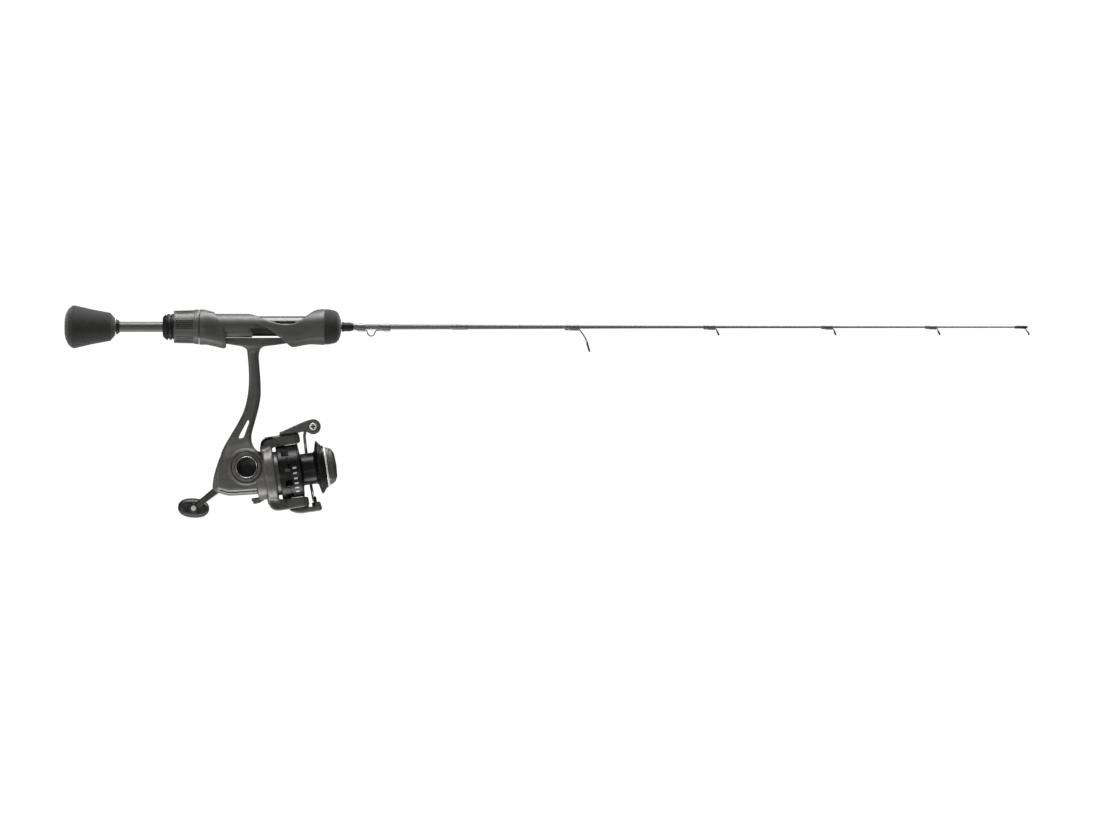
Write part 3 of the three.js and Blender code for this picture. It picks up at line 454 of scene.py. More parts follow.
def loft(rings):
    """A skin over rings of equal length, with a flat cap at both ends."""
    count = len(rings[0])
    verts = [tuple(p) for ring in rings for p in ring]
    faces = []
    for i in range(len(rings) - 1):
        for j in range(count):
            k = (j + 1) % count
            faces.append([i * count + j, i * count + k, (i + 1) * count + k, (i + 1) * count + j])
    faces.append(list(range(count))[::-1])
    faces.append(list(range((len(rings) - 1) * count, len(rings) * count)))
    half = len(rings) // 2
    a, b, c = (Vector(verts[v]) for v in faces[half * count][:3])
    middle = sum((Vector(v) for v in rings[half]), Vector()) / count
    if (b - a).cross(c - a).dot(a - middle) < 0:
        faces = [f[::-1] for f in faces]
    return verts, faces


def joined(*shapes):
    verts, faces = [], []
    for more_verts, more_faces in shapes:
        faces += [[v + len(verts) for v in f] for f in more_faces]
        verts += [tuple(v) for v in more_verts]
    return verts, faces


def turned(shape, matrix):
    verts, faces = shape
    return [tuple(matrix @ Vector(v)) for v in verts], faces


# ------------------------------------------------------------------ moulded shapes, from a distance field
def smooth_min(a, b, r):
    share = np.clip(0.5 + 0.5 * (b - a) / r, 0, 1)
    return b * (1 - share) + a * share - r * share * (1 - share)


def smooth_max(a, b, r):
    return -smooth_min(-a, -b, r)


def common(*parts):
    """The distance to what all the shapes share."""
    return functools.reduce(np.maximum, parts)


def either(*parts):
    return functools.reduce(np.minimum, parts)


def from_crank(x, z):
    return np.hypot(x - CRANK.x, z - CRANK.z)


def slab(flat, across, half, r):
    """A flat shape's distance, thickened to +-half across it, with its rims rounded."""
    u, v = flat + r, np.abs(across) - half + r
    return np.minimum(np.maximum(u, v), 0) + np.hypot(np.maximum(u, 0), np.maximum(v, 0)) - r


def polygon(points, x, z):
    """Signed distance to a closed outline in a plane, negative inside."""
    nearest = np.full(np.broadcast(x, z).shape, 1e9, np.float32)
    inside = np.zeros(nearest.shape, bool)
    for (ax, az), (bx, bz) in zip(points, points[1:] + points[:1]):
        ex, ez = bx - ax, bz - az
        length = ex * ex + ez * ez
        if length < 1e-9:
            continue
        t = np.clip(((x - ax) * ex + (z - az) * ez) / length, 0, 1)
        nearest = np.minimum(nearest, (x - ax - t * ex) ** 2 + (z - az - t * ez) ** 2)
        if ez:
            crosses = (az > z) != (bz > z)
            inside ^= crosses & (x < ax + (z - az) * ex / ez)
    return np.where(inside, -1, 1) * np.sqrt(nearest)


def follow(points, x):
    """A smooth function through (x, value) points."""
    return np.interp(x, *zip(*flow(points)))


def skin(field, low, high, step):
    """Vertices and quads of the surface where the field is zero, by surface nets."""
    axes = [np.arange(a - 2 * step, b + 2 * step, step, dtype=np.float32) for a, b in zip(low, high)]
    x, y, z = axes[0][:, None, None], axes[1][None, :, None], axes[2][None, None, :]
    value = np.broadcast_to(field(x, y, z), [len(a) for a in axes]).astype(np.float32)
    value[value == 0] = 1e-6
    inside = value < 0
    cells = [n - 1 for n in inside.shape]
    corners = [(i, j, k) for i in (0, 1) for j in (0, 1) for k in (0, 1)]
    full = sum(inside[i:i + cells[0], j:j + cells[1], k:k + cells[2]].astype(np.int8) for i, j, k in corners)
    mixed = (full > 0) & (full < 8)
    number = np.full(mixed.shape, -1, np.int64)
    number[mixed] = np.arange(mixed.sum())
    cell = np.stack(np.nonzero(mixed), 1)
    at = {c: value[tuple((cell + c).T)] for c in corners}
    total = np.zeros((len(cell), 3))
    hits = np.zeros(len(cell))
    for a in corners:
        for axis in range(3):
            if a[axis]:
                continue
            b = tuple(1 if n == axis else a[n] for n in range(3))
            crossed = (at[a] < 0) != (at[b] < 0)
            t = np.where(crossed, at[a] / np.where(crossed, at[a] - at[b], 1), 0)
            point = np.array(a, float)[None, :].repeat(len(cell), 0)
            point[:, axis] = t
            total += point * crossed[:, None]
            hits += crossed
    verts = (cell + total / hits[:, None]) * step + [a[0] for a in axes]
    faces = []
    for axis in range(3):
        u, v = (axis + 1) % 3, (axis + 2) % 3
        low_side = np.take(inside, range(inside.shape[axis] - 1), axis)
        high_side = np.take(inside, range(1, inside.shape[axis]), axis)
        edge = np.stack(np.nonzero(low_side != high_side), 1)
        out = low_side[tuple(edge.T)]
        quad = []
        for du, dv in ((1, 1), (0, 1), (0, 0), (1, 0)):
            back = edge.copy()
            back[:, u] -= du
            back[:, v] -= dv
            quad.append(number[tuple(back.T)])
        quad = np.stack(quad, 1)
        quad[~out] = quad[~out][:, ::-1]
        faces.append(quad)
    return verts, np.concatenate(faces).tolist()


# ------------------------------------------------------------------ butt, tube and grips
def handle():
    piece("butt_grip", *spin([
        (-123.6, 0), (-123.6, 4.6, 2), (-122.9, 8, 3), (-121.2, 11.6, 3), (-118.6, 13.9, 2),
        (-116.9, 14.1, 2), (-105, 11.35, 20), (-93.4, 9.2, 0.8), (-90.4, 5.6, 0.5), (-90.2, 3.6, 0.1),
        (-115, 3.6, 0.1), (-115, 0),
    ], 1, 96, 6), "rod", "foam", "foam")
    piece("butt_collar", *spin([
        (-89.9, 3.45), (-89.9, 5, 0.3), (-88.9, 4.8, 0.5), (-87.6, 3.9, 0.4), (-87.6, 3.45),
    ], 0.2, 64), "rod", "rubber", "rubber")
    piece("butt_tube", *lathe(ring_profile(-114.7, 46, 2.4, 3.3), 64), "rod", "blank", "tube")
    piece("fore_grip", *spin([
        (46.5, 2.4), (46.5, 6.8, 0.1), (47.23, 6.8, 0.02), (47.23, 11.2, 0.02), (47.45, 11.2, 0.02),
        (47.45, 11.65, 0.4), (50, 11.5, 4), (53, 10.9, 3),
        (55, 10.1, 1.5), (56.3, 8.6, 2), (57.3, 6, 2), (57.9, 3.6, 0.4), (57.9, 2.4),
    ], 0.3, 96, 6), "rod", "foam", "foam")
    piece("winding_check", *spin([
        (58.2, 2.2), (58.2, 3.2, 0.3), (59.6, 3.2, 0.2), (59.9, 2.9, 0.2), (62.6, 2.9, 0.2), (62.9, 3, 0.2),
        (63.9, 2.85, 0.2), (65.9, 2.4, 0.3), (65.9, 2.1),
    ], 0.2, 48), "rod", "rubber", "rubber")


# ------------------------------------------------------------------ reel seat
SEAT_RADIUS = [(-50, 8.2), (-40, 8.2), (-34, 8.6), (-16, 8.6), (4, 8.62), (14, 8.9), (24, 9.4), (31, 9.9),
               (36, 10.5), (41, 11.3), (45, 11.7), (47.2, 11.75)]
TOP_WINDOW = [(-4, 11), (-2, 8.9), (2.6, 7.2), (6.8, 5.5), (13.5, 3), (20.2, 1.7), (26.2, 2.2), (30.3, 3.9),
              (34.5, 6.9), (39.6, 10.3), (43, 12), (45, 14)]
SIDE_WINDOW = [(-0.6, -9), (-0.2, -6.6), (1.3, 1.7), (4.6, 1.2), (8.6, -0.8), (13.7, -4.1), (17.5, -6.9),
               (17.5, -9)]
BLADE_EDGE = [(-14, -12), (-14, 3), (-1, 2.4), (2.5, 1.7), (6, 0.4), (11, -2.4), (17, -6.9), (22, -12)]
SEAT_POD = [(10, 7.6, -10), (20, 9, -12.6), (26.6, 9.5, -13.3), (33, 9.9, -12.2), (40, 10.4, -11.2),
            (47.2, 10.6, -11.2)]  # half width and underside of the swelling round the foot's front end
SEAT_REAR, SEAT_FRONT = -50, 47.2
SEAT_BORE = 7.4
FOOT_PLAY = 0.4


def foot_half_width(x):
    return 6.3 - 0.0035 * (x - 2) ** 2


def ellipse(y, z, half_width, top, bottom):
    middle, tall = (top + bottom) / 2, (top - bottom) / 2
    return (np.sqrt((y / half_width) ** 2 + ((z - middle) / tall) ** 2) - 1) * np.minimum(half_width, tall)


def seat_field(x, y, z):
    r = np.hypot(y, z)
    outside = r - follow(SEAT_RADIUS, x)
    wide = follow([(p[0], p[1]) for p in SEAT_POD], x)
    deep = follow([(p[0], p[2]) for p in SEAT_POD], x)
    pod = np.maximum(ellipse(y, z, wide, 2, deep), 11 - x)
    body = smooth_min(outside, pod, 1.5)
    body = smooth_max(body, SEAT_BORE - r, 0.4)
    body = smooth_max(body, np.maximum(x - SEAT_FRONT, SEAT_REAR - x), 0.5)
    opened = (follow(TOP_WINDOW, x) - z) * 0.85
    window = np.where((x > -4) & (x < 45), opened, 5)
    body = smooth_max(body, -window, 0.9)
    side = np.maximum(polygon(SIDE_WINDOW, x, z), z - 2)
    body = smooth_max(body, -side, 0.5)
    dish = np.sqrt(((x - 4) / 9) ** 2 + ((z + 4) / 5.5) ** 2 + ((np.abs(y) - 9.2) / 2.2) ** 2) - 1
    body = smooth_max(body, -np.maximum(dish * 2.2, polygon(BLADE_EDGE, x, z)), 0.8)
    below = polygon([(-60, -22), (-60, -7.18), (-0.6, -7.18), (-0.6, -6.5), (16.3, -6.5), (25.6, -13.5),
                     (25.6, -22)], x, z)
    shadow_line = common(np.abs(z + 7.2) - 0.45, 3.6 - np.abs(y), x - 20)
    body = smooth_max(body, -np.minimum(below, shadow_line), 0.3)
    pocket = common(np.abs(y) - foot_half_width(x) - FOOT_PLAY, np.abs(z + 9) - 1.85, x - 33.4)
    return smooth_max(body, -pocket, 0.3)


def hood_field(x, y, z):
    r = np.hypot(y, z)
    outside = r - follow([(-35.3, 11.5), (-32, 11.35), (-28, 10.4), (-24, 9.5), (-20, 9.25), (-16, 9.2)], x)
    wide = follow([(-35, 10.8), (-28, 10.3), (-22, 9.8), (-16, 9.3)], x)
    deep = follow([(-35.3, -11.4), (-31, -11.7), (-25, -12.9), (-21, -13.9), (-18.8, -14.1), (-16, -13)], x)
    pod = ellipse(y, z, wide, 2, deep)
    body = smooth_min(outside, pod, 1.2)
    body = smooth_max(body, 8.9 - r, 0.3)
    body = smooth_max(body, -35.2 - x, 0.4)
    mouth = polygon([(-26.4, 20), *flow([(-26.4, 12), (-24.6, 8.6), (-21.4, 3.4), (-19.3, -1.6), (-18.1, -6),
                                         (-17.4, -10), (-17.9, -16)]), (-17.9, -20), (0, -20), (0, 20)], x, z)
    body = smooth_max(body, -mouth, 0.6)
    floor = follow([(-31, -9), (-27, -9.4), (-22, -11), (-16, -12)], x)
    pocket = common(np.abs(y) - foot_half_width(x) - FOOT_PLAY, floor - z, z + 6.8, -28 - x)
    return smooth_max(body, -pocket, 0.3)


def nut_angles():
    """Angles round the nut, with a pair of close ones at each groove's edge, and those in the grooves."""
    angles, grooved = [], set()
    groups, grooves, width, pitch = 6, 5, math.radians(3.4), math.radians(6.6)
    for group in range(groups):
        centre = math.radians(172) + group * 2 * math.pi / groups
        first = centre - pitch * (grooves - 1) / 2
        for groove in range(grooves):
            left = first + groove * pitch - width / 2
            angles.append(left)
            angles += [left + width * 0.2, left + width * 0.8]
            grooved |= {len(angles) - 1, len(angles) - 2}
            angles.append(left + width)
        end = angles[-1]
        gap = (centre + 2 * math.pi / groups - pitch * (grooves - 1) / 2 - width / 2 - end) / 6
        angles += [end + gap * k for k in range(1, 6)]
    return angles, {angles[i] for i in grooved}


def seat():
    piece("seat_barrel", *skin(seat_field, (-50, -12, -14), (47.3, 12, 12), 0.36), "rod", "soft_touch",
          "soft_touch", ["seat_body"], reduce=0.3)
    crest, root, pitch = 8.5, 7.6, 2.6

    def thread(x, r, angle):
        if r < 7:
            return r
        phase = ((x - angle / (2 * math.pi) * pitch) / pitch) % 1
        height = min(1, max(0, 2.6 - abs(phase - 0.5) * 6))
        fade = min(1, max(0, (x + 58.2) / 1.6))
        return min(r, root + (crest - root) * height * fade)

    rows = [(-59.2, 3.7), (-59.2, 5.4), (-58.9, 6.4), (-58.2, 7.3), (-57.6, 7.7)]
    rows += [(-57.4 + 0.15 * k, crest) for k in range(50)] + [(-49.8, 3.7)]
    piece("seat_thread", *lathe(rows, 96, thread), "rod", "soft_touch", "rubber")
    piece("seat_core", *skin(core_field, (-50.5, -7.3, -7.3), (46.5, 7.3, 7.3), 0.42), "rod", "blank", "core",
          reduce=0.25)
    # A dark sheet over the core's lower half: painted shade inside the side windows, under the blade.
    piece("core_shade_liner", *skin(shade_liner_field, (-2, -7.3, -6.2), (18, 7.3, -0.6), 0.3), "rod", "blank", "rubber",
          reduce=0.4)
    piece("seat_hood", *skin(hood_field, (-35.3, -11.6, -14.2), (-17, 11.6, 11.6), 0.32), "hood",
          "soft_touch", "soft_touch", reduce=0.35)
    angles, grooved = nut_angles()
    profile = soften([
        (-51.9, 8.85), (-51.9, 10.6, 0.5), (-38.7, 10.95, 0.2), (-38.4, 11.2, 0.2), (-36.4, 11.45, 0.3),
        (-35.5, 11.4, 0.2), (-35.5, 8.85),
    ], 0.2, closed=True)
    rear_edge = [point for point in profile if point[0] < -51 and point[1] > 9]
    after = profile.index(rear_edge[-1]) + 1
    profile[after:after] = [(-50.9, 10.62), (-50.6, 10.63), (-39.4, 10.93), (-39.1, 10.94)]

    def groove(x, r, angle):
        return r - 0.9 if angle in grooved and -50.65 < x < -39.35 and r > 10 else r

    piece("seat_nut", *lathe(profile, shape=groove, angles=angles), "nut", "soft_touch", "soft_touch",
          sharp=30)


def core_field(x, y, z):
    r = np.hypot(y, z)
    body = smooth_max(r - 7.05, -6 - z, 0.3)
    body = smooth_max(body, 3.6 - r, 0.2)
    body = smooth_max(body, np.maximum(x - 46.4, -50.4 - x), 0.2)
    slit = np.maximum(np.hypot(np.maximum(np.abs(x - 21) - 5.5, 0), z - 2.7) - 0.75, 5 - np.abs(y))
    return smooth_max(body, -slit, 0.25)


def shade_liner_field(x, y, z):
    """A dark sheet over the lower half of the core's sleeve, where the side windows show it: painted shade
    for the shadow that the seat's blade casts there.
    """
    return common(np.abs(np.hypot(y, z) - 6.95) - 0.25, z + 0.9, -6.05 - z, np.abs(x - 8) - 9.4)


# ------------------------------------------------------------------ blank, wraps and guides
BLANK_TIP = 509.2
BLANK = [(10, 2), (60, 1.8), (140, 1.5), (205, 1.22), (240, 1.05), (300, 0.85), (380, 0.68), (450, 0.56),
         (BLANK_TIP, 0.48)]
GUIDES = [
    {"foot": 205.2, "leg": 214.7, "ring": 4.45, "lean": 16, "wire": 0.42, "drop": 6.2, "reach": 4.1},
    {"foot": 296.6, "leg": 304.3, "ring": 2.05, "lean": 25, "wire": 0.34, "drop": 0.5, "reach": 0.4},
    {"foot": 374.2, "leg": 381.6, "ring": 2.0, "lean": 20, "wire": 0.32, "drop": 0.6, "reach": 0.4},
    {"foot": 442.6, "leg": 450.1, "ring": 1.95, "lean": 22, "wire": 0.3, "drop": 0.8, "reach": 0.5},
]


def blank_radius(x):
    return float(np.interp(x, *zip(*BLANK)))


def wrap(name, x0, x1, foot):
    """Thread wound over the blank and over a guide's foot below it, under a coat of epoxy."""
    rings = []
    thick = 0.28
    for t in [0, 0.02, 0.05, 0.1, 0.15, 0.25, 0.35, 0.45, 0.6, 0.75, 0.9, 0.95, 0.98, 1]:
        x = x0 + t * (x1 - x0)
        rise = min(1, max(0, (t - 0.05) / 0.5))
        under = foot * rise * rise * (3 - 2 * rise)
        ends = min(1, t / 0.06 + 0.15, (1 - t) / 0.06 + 0.15)
        r = blank_radius(x) + 0.05 + thick * ends
        rings.append([
            (x, r * math.cos(a), -under / 2 + r * math.sin(a) + (under / 2) * math.sin(a))
            for a in (2 * math.pi * k / 28 for k in range(28))
        ])
    piece(name, *loft(rings), "rod", "thread_wrap", "thread_wrap")


def ceramic(half_width, half_thick, outer):
    """The oval section of a guide's lining."""
    return [(half_width * math.cos(a), outer - half_thick + half_thick * math.sin(a))
            for a in (k * math.pi / 6 for k in range(12))]


def guide(number, g):
    foot_z = -(blank_radius(g["leg"]) + g["wire"] + 0.12)
    top = (g["leg"] + g["reach"], 0, foot_z - g["drop"])
    path = flow([
        (g["foot"], 0, foot_z), ((g["foot"] + g["leg"]) / 2, 0, foot_z), (g["leg"] - 0.6, 0, foot_z),
        (g["leg"] + g["reach"] * 0.2, 0, foot_z - g["drop"] * 0.2), top,
    ], 6)
    lean = math.radians(g["lean"])
    centre = Vector((top[0] + g["ring"] * math.sin(lean), 0, top[2] - g["ring"] * math.cos(lean)))
    stand = Matrix.Translation(centre) @ Matrix.Rotation(-lean, 4, "Y")
    band = 0.36 + g["ring"] * 0.06
    hoop = lathe(ring_profile(-0.5, 0.5, g["ring"] - band, g["ring"], 0.35), 48)
    piece(f"guide_frame_{number}", *joined(sweep(path, g["wire"]), turned(hoop, stand)), "rod", "guide_wire",
          "wire")
    inner = g["ring"] - band - 0.05
    piece(f"guide_ring_{number}", *lathe(ceramic(0.52, 0.24, inner), 48), "rod", "guide_ceramic", "ceramic",
          matrix=stand)
    wrap(f"guide_wrap_{number}", g["foot"] - 0.8, g["leg"] - 0.3, 2 * g["wire"] + 0.1)


def tip_top():
    lean, ring, end = math.radians(18), 1.5, BLANK_TIP
    centre = Vector((end + 1.2, 0, -3.9))
    stand = Matrix.Translation(centre) @ Matrix.Rotation(-lean, 4, "Y")
    sleeve = spin([
        (501.2, 0.55), (501.2, 0.9, 0.15), (503, 1.0, 0.3), (507, 1.0, 0.3), (508.6, 0.9, 0.2),
        (509.9, 0.6, 0.2), (509.9, 0.5),
    ], 0.1, 28)
    stays = [sweep(flow([
        (505.6, side * 0.5, -0.75), (508.4, side * 0.9, -1.1), (end + 0.1, side * 1.2, -2.4),
        (centre.x - 0.1, side * 1.37, centre.z),
    ], 6), 0.27) for side in (-1, 1)]
    hoop = turned(lathe(ring_profile(-0.42, 0.42, ring - 0.4, ring, 0.25), 36), stand)
    piece("tip_top_frame", *joined(sleeve, hoop, *stays), "rod", "guide_wire", "wire")
    inner = ring - 0.46
    piece("tip_top_ring", *lathe(ceramic(0.45, 0.2, inner), 36), "rod", "guide_ceramic", "ceramic",
          matrix=stand)


def blank_and_guides():
    rows = [(x, blank_radius(x)) for x in np.linspace(10, 508.9, 60)]
    piece("blank", *lathe([(10, 0), *rows, (BLANK_TIP, 0.3), (BLANK_TIP, 0)], 32), "rod", "blank", "blank")
    for number, g in enumerate(GUIDES, 1):
        guide(number, g)
    tip_top()
    piece("keeper_wire", *sweep(flow([
        (69.4, 0, -2.25), (73.2, 0, -2.28), (74.6, 0, -2.6), (75.3, 0, -4.3), (76.6, 0, -5.8),
        (78.6, 0, -5.8), (79.9, 0, -4.3), (80.7, 0, -2.6), (82.1, 0, -2.2), (87, 0, -2.15),
    ], 6), 0.35), "rod", "guide_wire", "wire")
    wrap("keeper_wrap_rear", 66.4, 73.6, 0.9)
    wrap("keeper_wrap_front", 81.8, 90.2, 0.9)
    wrap("trim_wrap", 130.2, 141.2, 0)


# ------------------------------------------------------------------ reel frame and its cover
FOOT_TOP = -7.2
FOOT = soften(trace((-27, -7.2), (33, -7.2), (33, -8.7), ((24, -10.8), (16, -11.8), (9, -12.6)), (-9, -12.5),
                    ((-16, -11.4), (-22, -10.6), (-27, -8.9))), 0.4, closed=True)
STEM = trace((-6, -10.4), (-6, -12.6), ((-4.2, -14), (-3.7, -15.6), (-3.6, -18.3)),
             ((-2.6, -28), (-1.4, -42), (-5.9, -54.8)), ((-9.5, -64.5), (-17.5, -74), (-20.8, -83.1)),
             (4.2, -83.1), ((0, -79.5), (-1.8, -75.5), (-0.7, -69.7)), ((1.2, -62), (4.2, -54), (5.1, -45.1)),
             ((5.4, -38), (4.4, -28), (3.8, -20)), ((3.9, -17), (4.4, -14.5), (6, -12.6)), (6, -10.4))
STEM_SLOT = soften([(-3.1, -60.6), (-2.5, -62.6), (-6.1, -72.6), (-9.5, -73.3), (-8.7, -71)], 0.45,
                   closed=True)
BODY = trace((-17.6, -76.6), ((-21.5, -84), (-26.3, -96), (-26.6, -105.4)),
             ((-26, -108.6), (-21, -109.6), (-15.7, -110.9)), (-4, -110.3), (8.4, -109.2), (4.6, -82.4),
             ((2, -81), (-0.4, -79), (-1.2, -76.6)))
# Depth of the near and far side along the stem and body, and the width of the cut along their rims.
NEAR_DEPTH = [(-112, 11.3), (-87, 11.3), (-84, 11), (-80, 9.4), (-76, 7.5), (-71, 5.7), (-66, 4.9),
              (-60, 4.4), (-40, 4), (-20, 4.2), (-13, 5.6), (-10, 6)]
FAR_DEPTH = [(-112, 9), (-84, 9), (-80, 8.6), (-75, 6), (-60, 4.4), (-40, 4), (-20, 4.2), (-13, 5.6),
             (-10, 6)]
RIM_CUT = [(-112, 4), (-104, 3.8), (-92, 2.6), (-80, 1.5), (-60, 1.7), (-20, 1.8), (-10, 1)]
PARTING = 9.15
SCREW_COLUMNS = [(-14.5, -80.6), (-22.4, -105)]


def level(points, z):
    return np.interp(z, *zip(*points))


def slope_height(x, z):
    """Height that the near side's fall from the housing to the stem is measured at; the fall leans."""
    return z - 0.3 * np.clip(x + 8, -14, 14)


def spool_coordinates(x, y, z):
    """Distance along the spool's axis, and distance from it."""
    dx, dz = x - SPOOL_ORIGIN.x, z - SPOOL_ORIGIN.z
    s = dx * SPOOL_AXIS.x + dz * SPOOL_AXIS.z
    return s, np.hypot(dz * SPOOL_AXIS.x - dx * SPOOL_AXIS.z, y)


def cavity(x, y, z):
    s, r = spool_coordinates(x, y, z)
    round_crank = from_crank(x, z)
    near_wall = 2 - level(NEAR_DEPTH, slope_height(x, z))
    room = common(polygon(BODY, x, z) + 2, near_wall - y, y - 9.6)
    gear_room = np.maximum(round_crank - 12.2, np.abs(y - 4.6) - 3)
    bearing = np.where(y < -9, round_crank - 5.6, round_crank - 3.4)
    shaft_hole = np.maximum(np.where(y < -12, round_crank - 3.4, bearing), np.abs(y) - 20)
    spool_hole = np.maximum(r - np.where(s > 14.2, 6.8, np.where(s > 11.7, 5.6, 4.2)), 5 - s)
    hollow = either(room, gear_room, shaft_hole, spool_hole)
    for cx, cz in SCREW_COLUMNS:
        off = np.hypot(x - cx, z - cz)
        hollow = np.minimum(np.maximum(hollow, 2.2 - off), np.maximum(off - 1.3, 3.5 - y))
    return hollow


def frame_field(x, y, z):
    foot = slab(polygon(FOOT, x, z), y, foot_half_width(x), 0.5)
    flat = smooth_min(polygon(STEM, x, z), polygon(BODY, x, z), 0.8)
    reach = np.maximum(-level(NEAR_DEPTH, slope_height(x, z)) - y, y - level(FAR_DEPTH, z)) * 0.85
    whole = smooth_max(flat + np.zeros_like(y), reach, 0.9)
    whole = smooth_max(whole, (flat + reach + level(RIM_CUT, z)) * 0.7071, 0.8)
    whole = np.maximum(whole, y - PARTING + 0.15)
    whole = np.maximum(smooth_min(foot, whole, 3.2), z - FOOT_TOP)
    s, r = spool_coordinates(x, y, z)
    collar = np.maximum(slab(r - 15.9, s - 10, 4.9, 0.6), y - np.where(s > 9, 20, 9))
    nose = slab(r - 9, s - 15, 6, 0.4)
    whole = smooth_min(whole, np.minimum(collar, nose), 1)
    round_crank = from_crank(x, z)
    whole = smooth_min(whole, slab(round_crank - 11.4, y + 11.5, 1.6, 0.6), 1.3)
    groove = np.maximum(np.abs(round_crank - 9.9) - 0.3, y + 11.9)
    whole = smooth_max(whole, -groove, 0.2)
    cap_seat = np.maximum(round_crank - 7.3, y + 12.5)
    whole = smooth_max(whole, -cap_seat, 0.2)
    whole = smooth_max(whole, -(polygon(STEM_SLOT, x, z) + 0 * y), 0.35)
    return np.maximum(whole, -cavity(x, y, z))


def cover_field(x, y, z):
    flat = polygon(BODY, x, z) - 0.35 * np.clip((-96 - z) / 8, 0, 1)
    whole = smooth_max(flat + np.zeros_like(y), np.maximum(PARTING + 0.15 - y, y - 11.1), 0.4)
    whole = smooth_max(whole, (flat + y - 11.1 + 1.6) * 0.7071, 0.6)
    round_crank = from_crank(x, z)
    whole = smooth_min(whole, slab(round_crank - 8.6, y - 13.2, 3.3, 0.9), 1.6)
    hole = round_crank - np.where(y > 12.3, 5.6, 3.4)
    for cx, cz in SCREW_COLUMNS:
        hole = np.minimum(hole, np.hypot(x - cx, z - cz) - 1.3)
    s, r = spool_coordinates(x, y, z)
    return np.maximum(whole, -np.minimum(hole, np.maximum(r - 16.2, 9 - s)))


def cross_screw(x0, x1, head, shank, length):
    """A pan-head screw whose head faces +x at x1, with a cross recess; its shank runs back to x0."""
    under, wide, narrow = x1 - 1.1, 0.62 * head, 0.2 * head
    profile = soften([(x0, 0), (x0, shank, 0.2), (under, shank, 0.1), (under, head, 0.2),
                      (x1 - 0.4, head, 0.4), (x1, wide, 0.3), (x1, 0)], 0.1)

    def field(x, y, z):
        r = np.hypot(y, z)
        top = polygon(profile + [(x, -r) for x, r in reversed(profile[1:-1])], x, r)
        arm = np.minimum(np.maximum(np.abs(y) - narrow, np.abs(z) - wide),
                         np.maximum(np.abs(z) - narrow, np.abs(y) - wide))
        return smooth_max(top, -np.maximum(arm, x1 - length - x), 0.12)

    return skin(field, (x0, -head, -head), (x1, head, head), 0.13)


def reel_body():
    piece("reel_frame", *skin(frame_field, (-27, -16, -113.6), (33, 16, -7), 0.36), "rod", "reel_paint",
          "reel_paint", reduce=0.25)
    piece("side_cover", *skin(cover_field, (-27.2, 9, -111.5), (8.6, 16.8, -76), 0.3), "rod", "reel_paint",
          "reel_paint", reduce=0.35)
    near = sideways(CRANK, -1)
    piece("cap_ring", *spin([
        (12.9, 6.65), (12.9, 7, 0.1), (15.8, 7, 0.1), (15.9, 6.85, 0.08), (15.8, 6.65, 0.08),
    ], 0.1, 96), "crank", "steel", "steel", matrix=near)
    piece("screw_cap", *spin([
        (12.9, 0), (12.9, 6.5), (15.6, 6.5, 0.3), (15.3, 5.8, 0.4), (14.7, 3.4, 2), (14.5, 0),
    ], 0.2, 96, 6), "crank", "spool_black", "gloss_black", matrix=near)
    for number in (1, 2):
        low, high = (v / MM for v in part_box(f"cover_screw_{number}"))
        middle = (low + high) / 2
        at = sideways((middle.x, 0, middle.z))
        piece(f"cover_screw_{number}", *cross_screw(4, 12.4, 2.05, 1, 0.8), "rod", "steel", "zinc",
              matrix=at, reduce=0.5)
    lever = soften([rod_to_reel(*p) for p in (
        (5.3, -109.9), (3.6, -111.9), (-1.5, -112.7), (0.7, -116.5), (4.6, -115.6), (7.4, -113.6),
        (9, -110.9), (8.9, -109.6))], 0.9, closed=True)

    def lever_field(x, y, z):
        return slab(polygon(lever, x, z), y, 2.2, 0.7)

    piece("anti_reverse_lever", *skin(lever_field, (-3, -2.4, -20), (12, 2.4, -10), 0.22), "lever",
          "reel_paint", "reel_paint", matrix=REEL, reduce=0.4)


# ------------------------------------------------------------------ crank
def crank_bar(length):
    """The bent arm: a row of rounded sections along the crank's length."""
    stations = [(-3.4, 35.6, 2.2, 1.5), (-2, 35.6, 3.6, 1.9), (0, 35.6, 4.1, 2), (5, 35.6, 3.9, 1.95),
                (9, 36, 3.5, 1.9), (14, 37.2, 3.1, 1.75), (20, 39.4, 2.7, 1.65), (27, 42.1, 2.4, 1.55),
                (33, 44.3, 2.15, 1.5), (38, 45.8, 2.05, 1.45), (41, 46.3, 2.1, 1.45),
                (length, 46.5, 2.2, 1.4), (length + 1.5, 46.5, 1.8, 1.3), (length + 2.3, 46.5, 0.9, 0.9)]
    squareness, sides = 0.55, 32

    def rounded(wave):
        return math.copysign(abs(wave) ** squareness, wave)

    return loft([
        [(u, y + thick * rounded(math.sin(a)), wide * rounded(math.cos(a)))
         for a in (2 * math.pi * k / sides for k in range(sides))]
        for u, y, wide, thick in stations
    ])


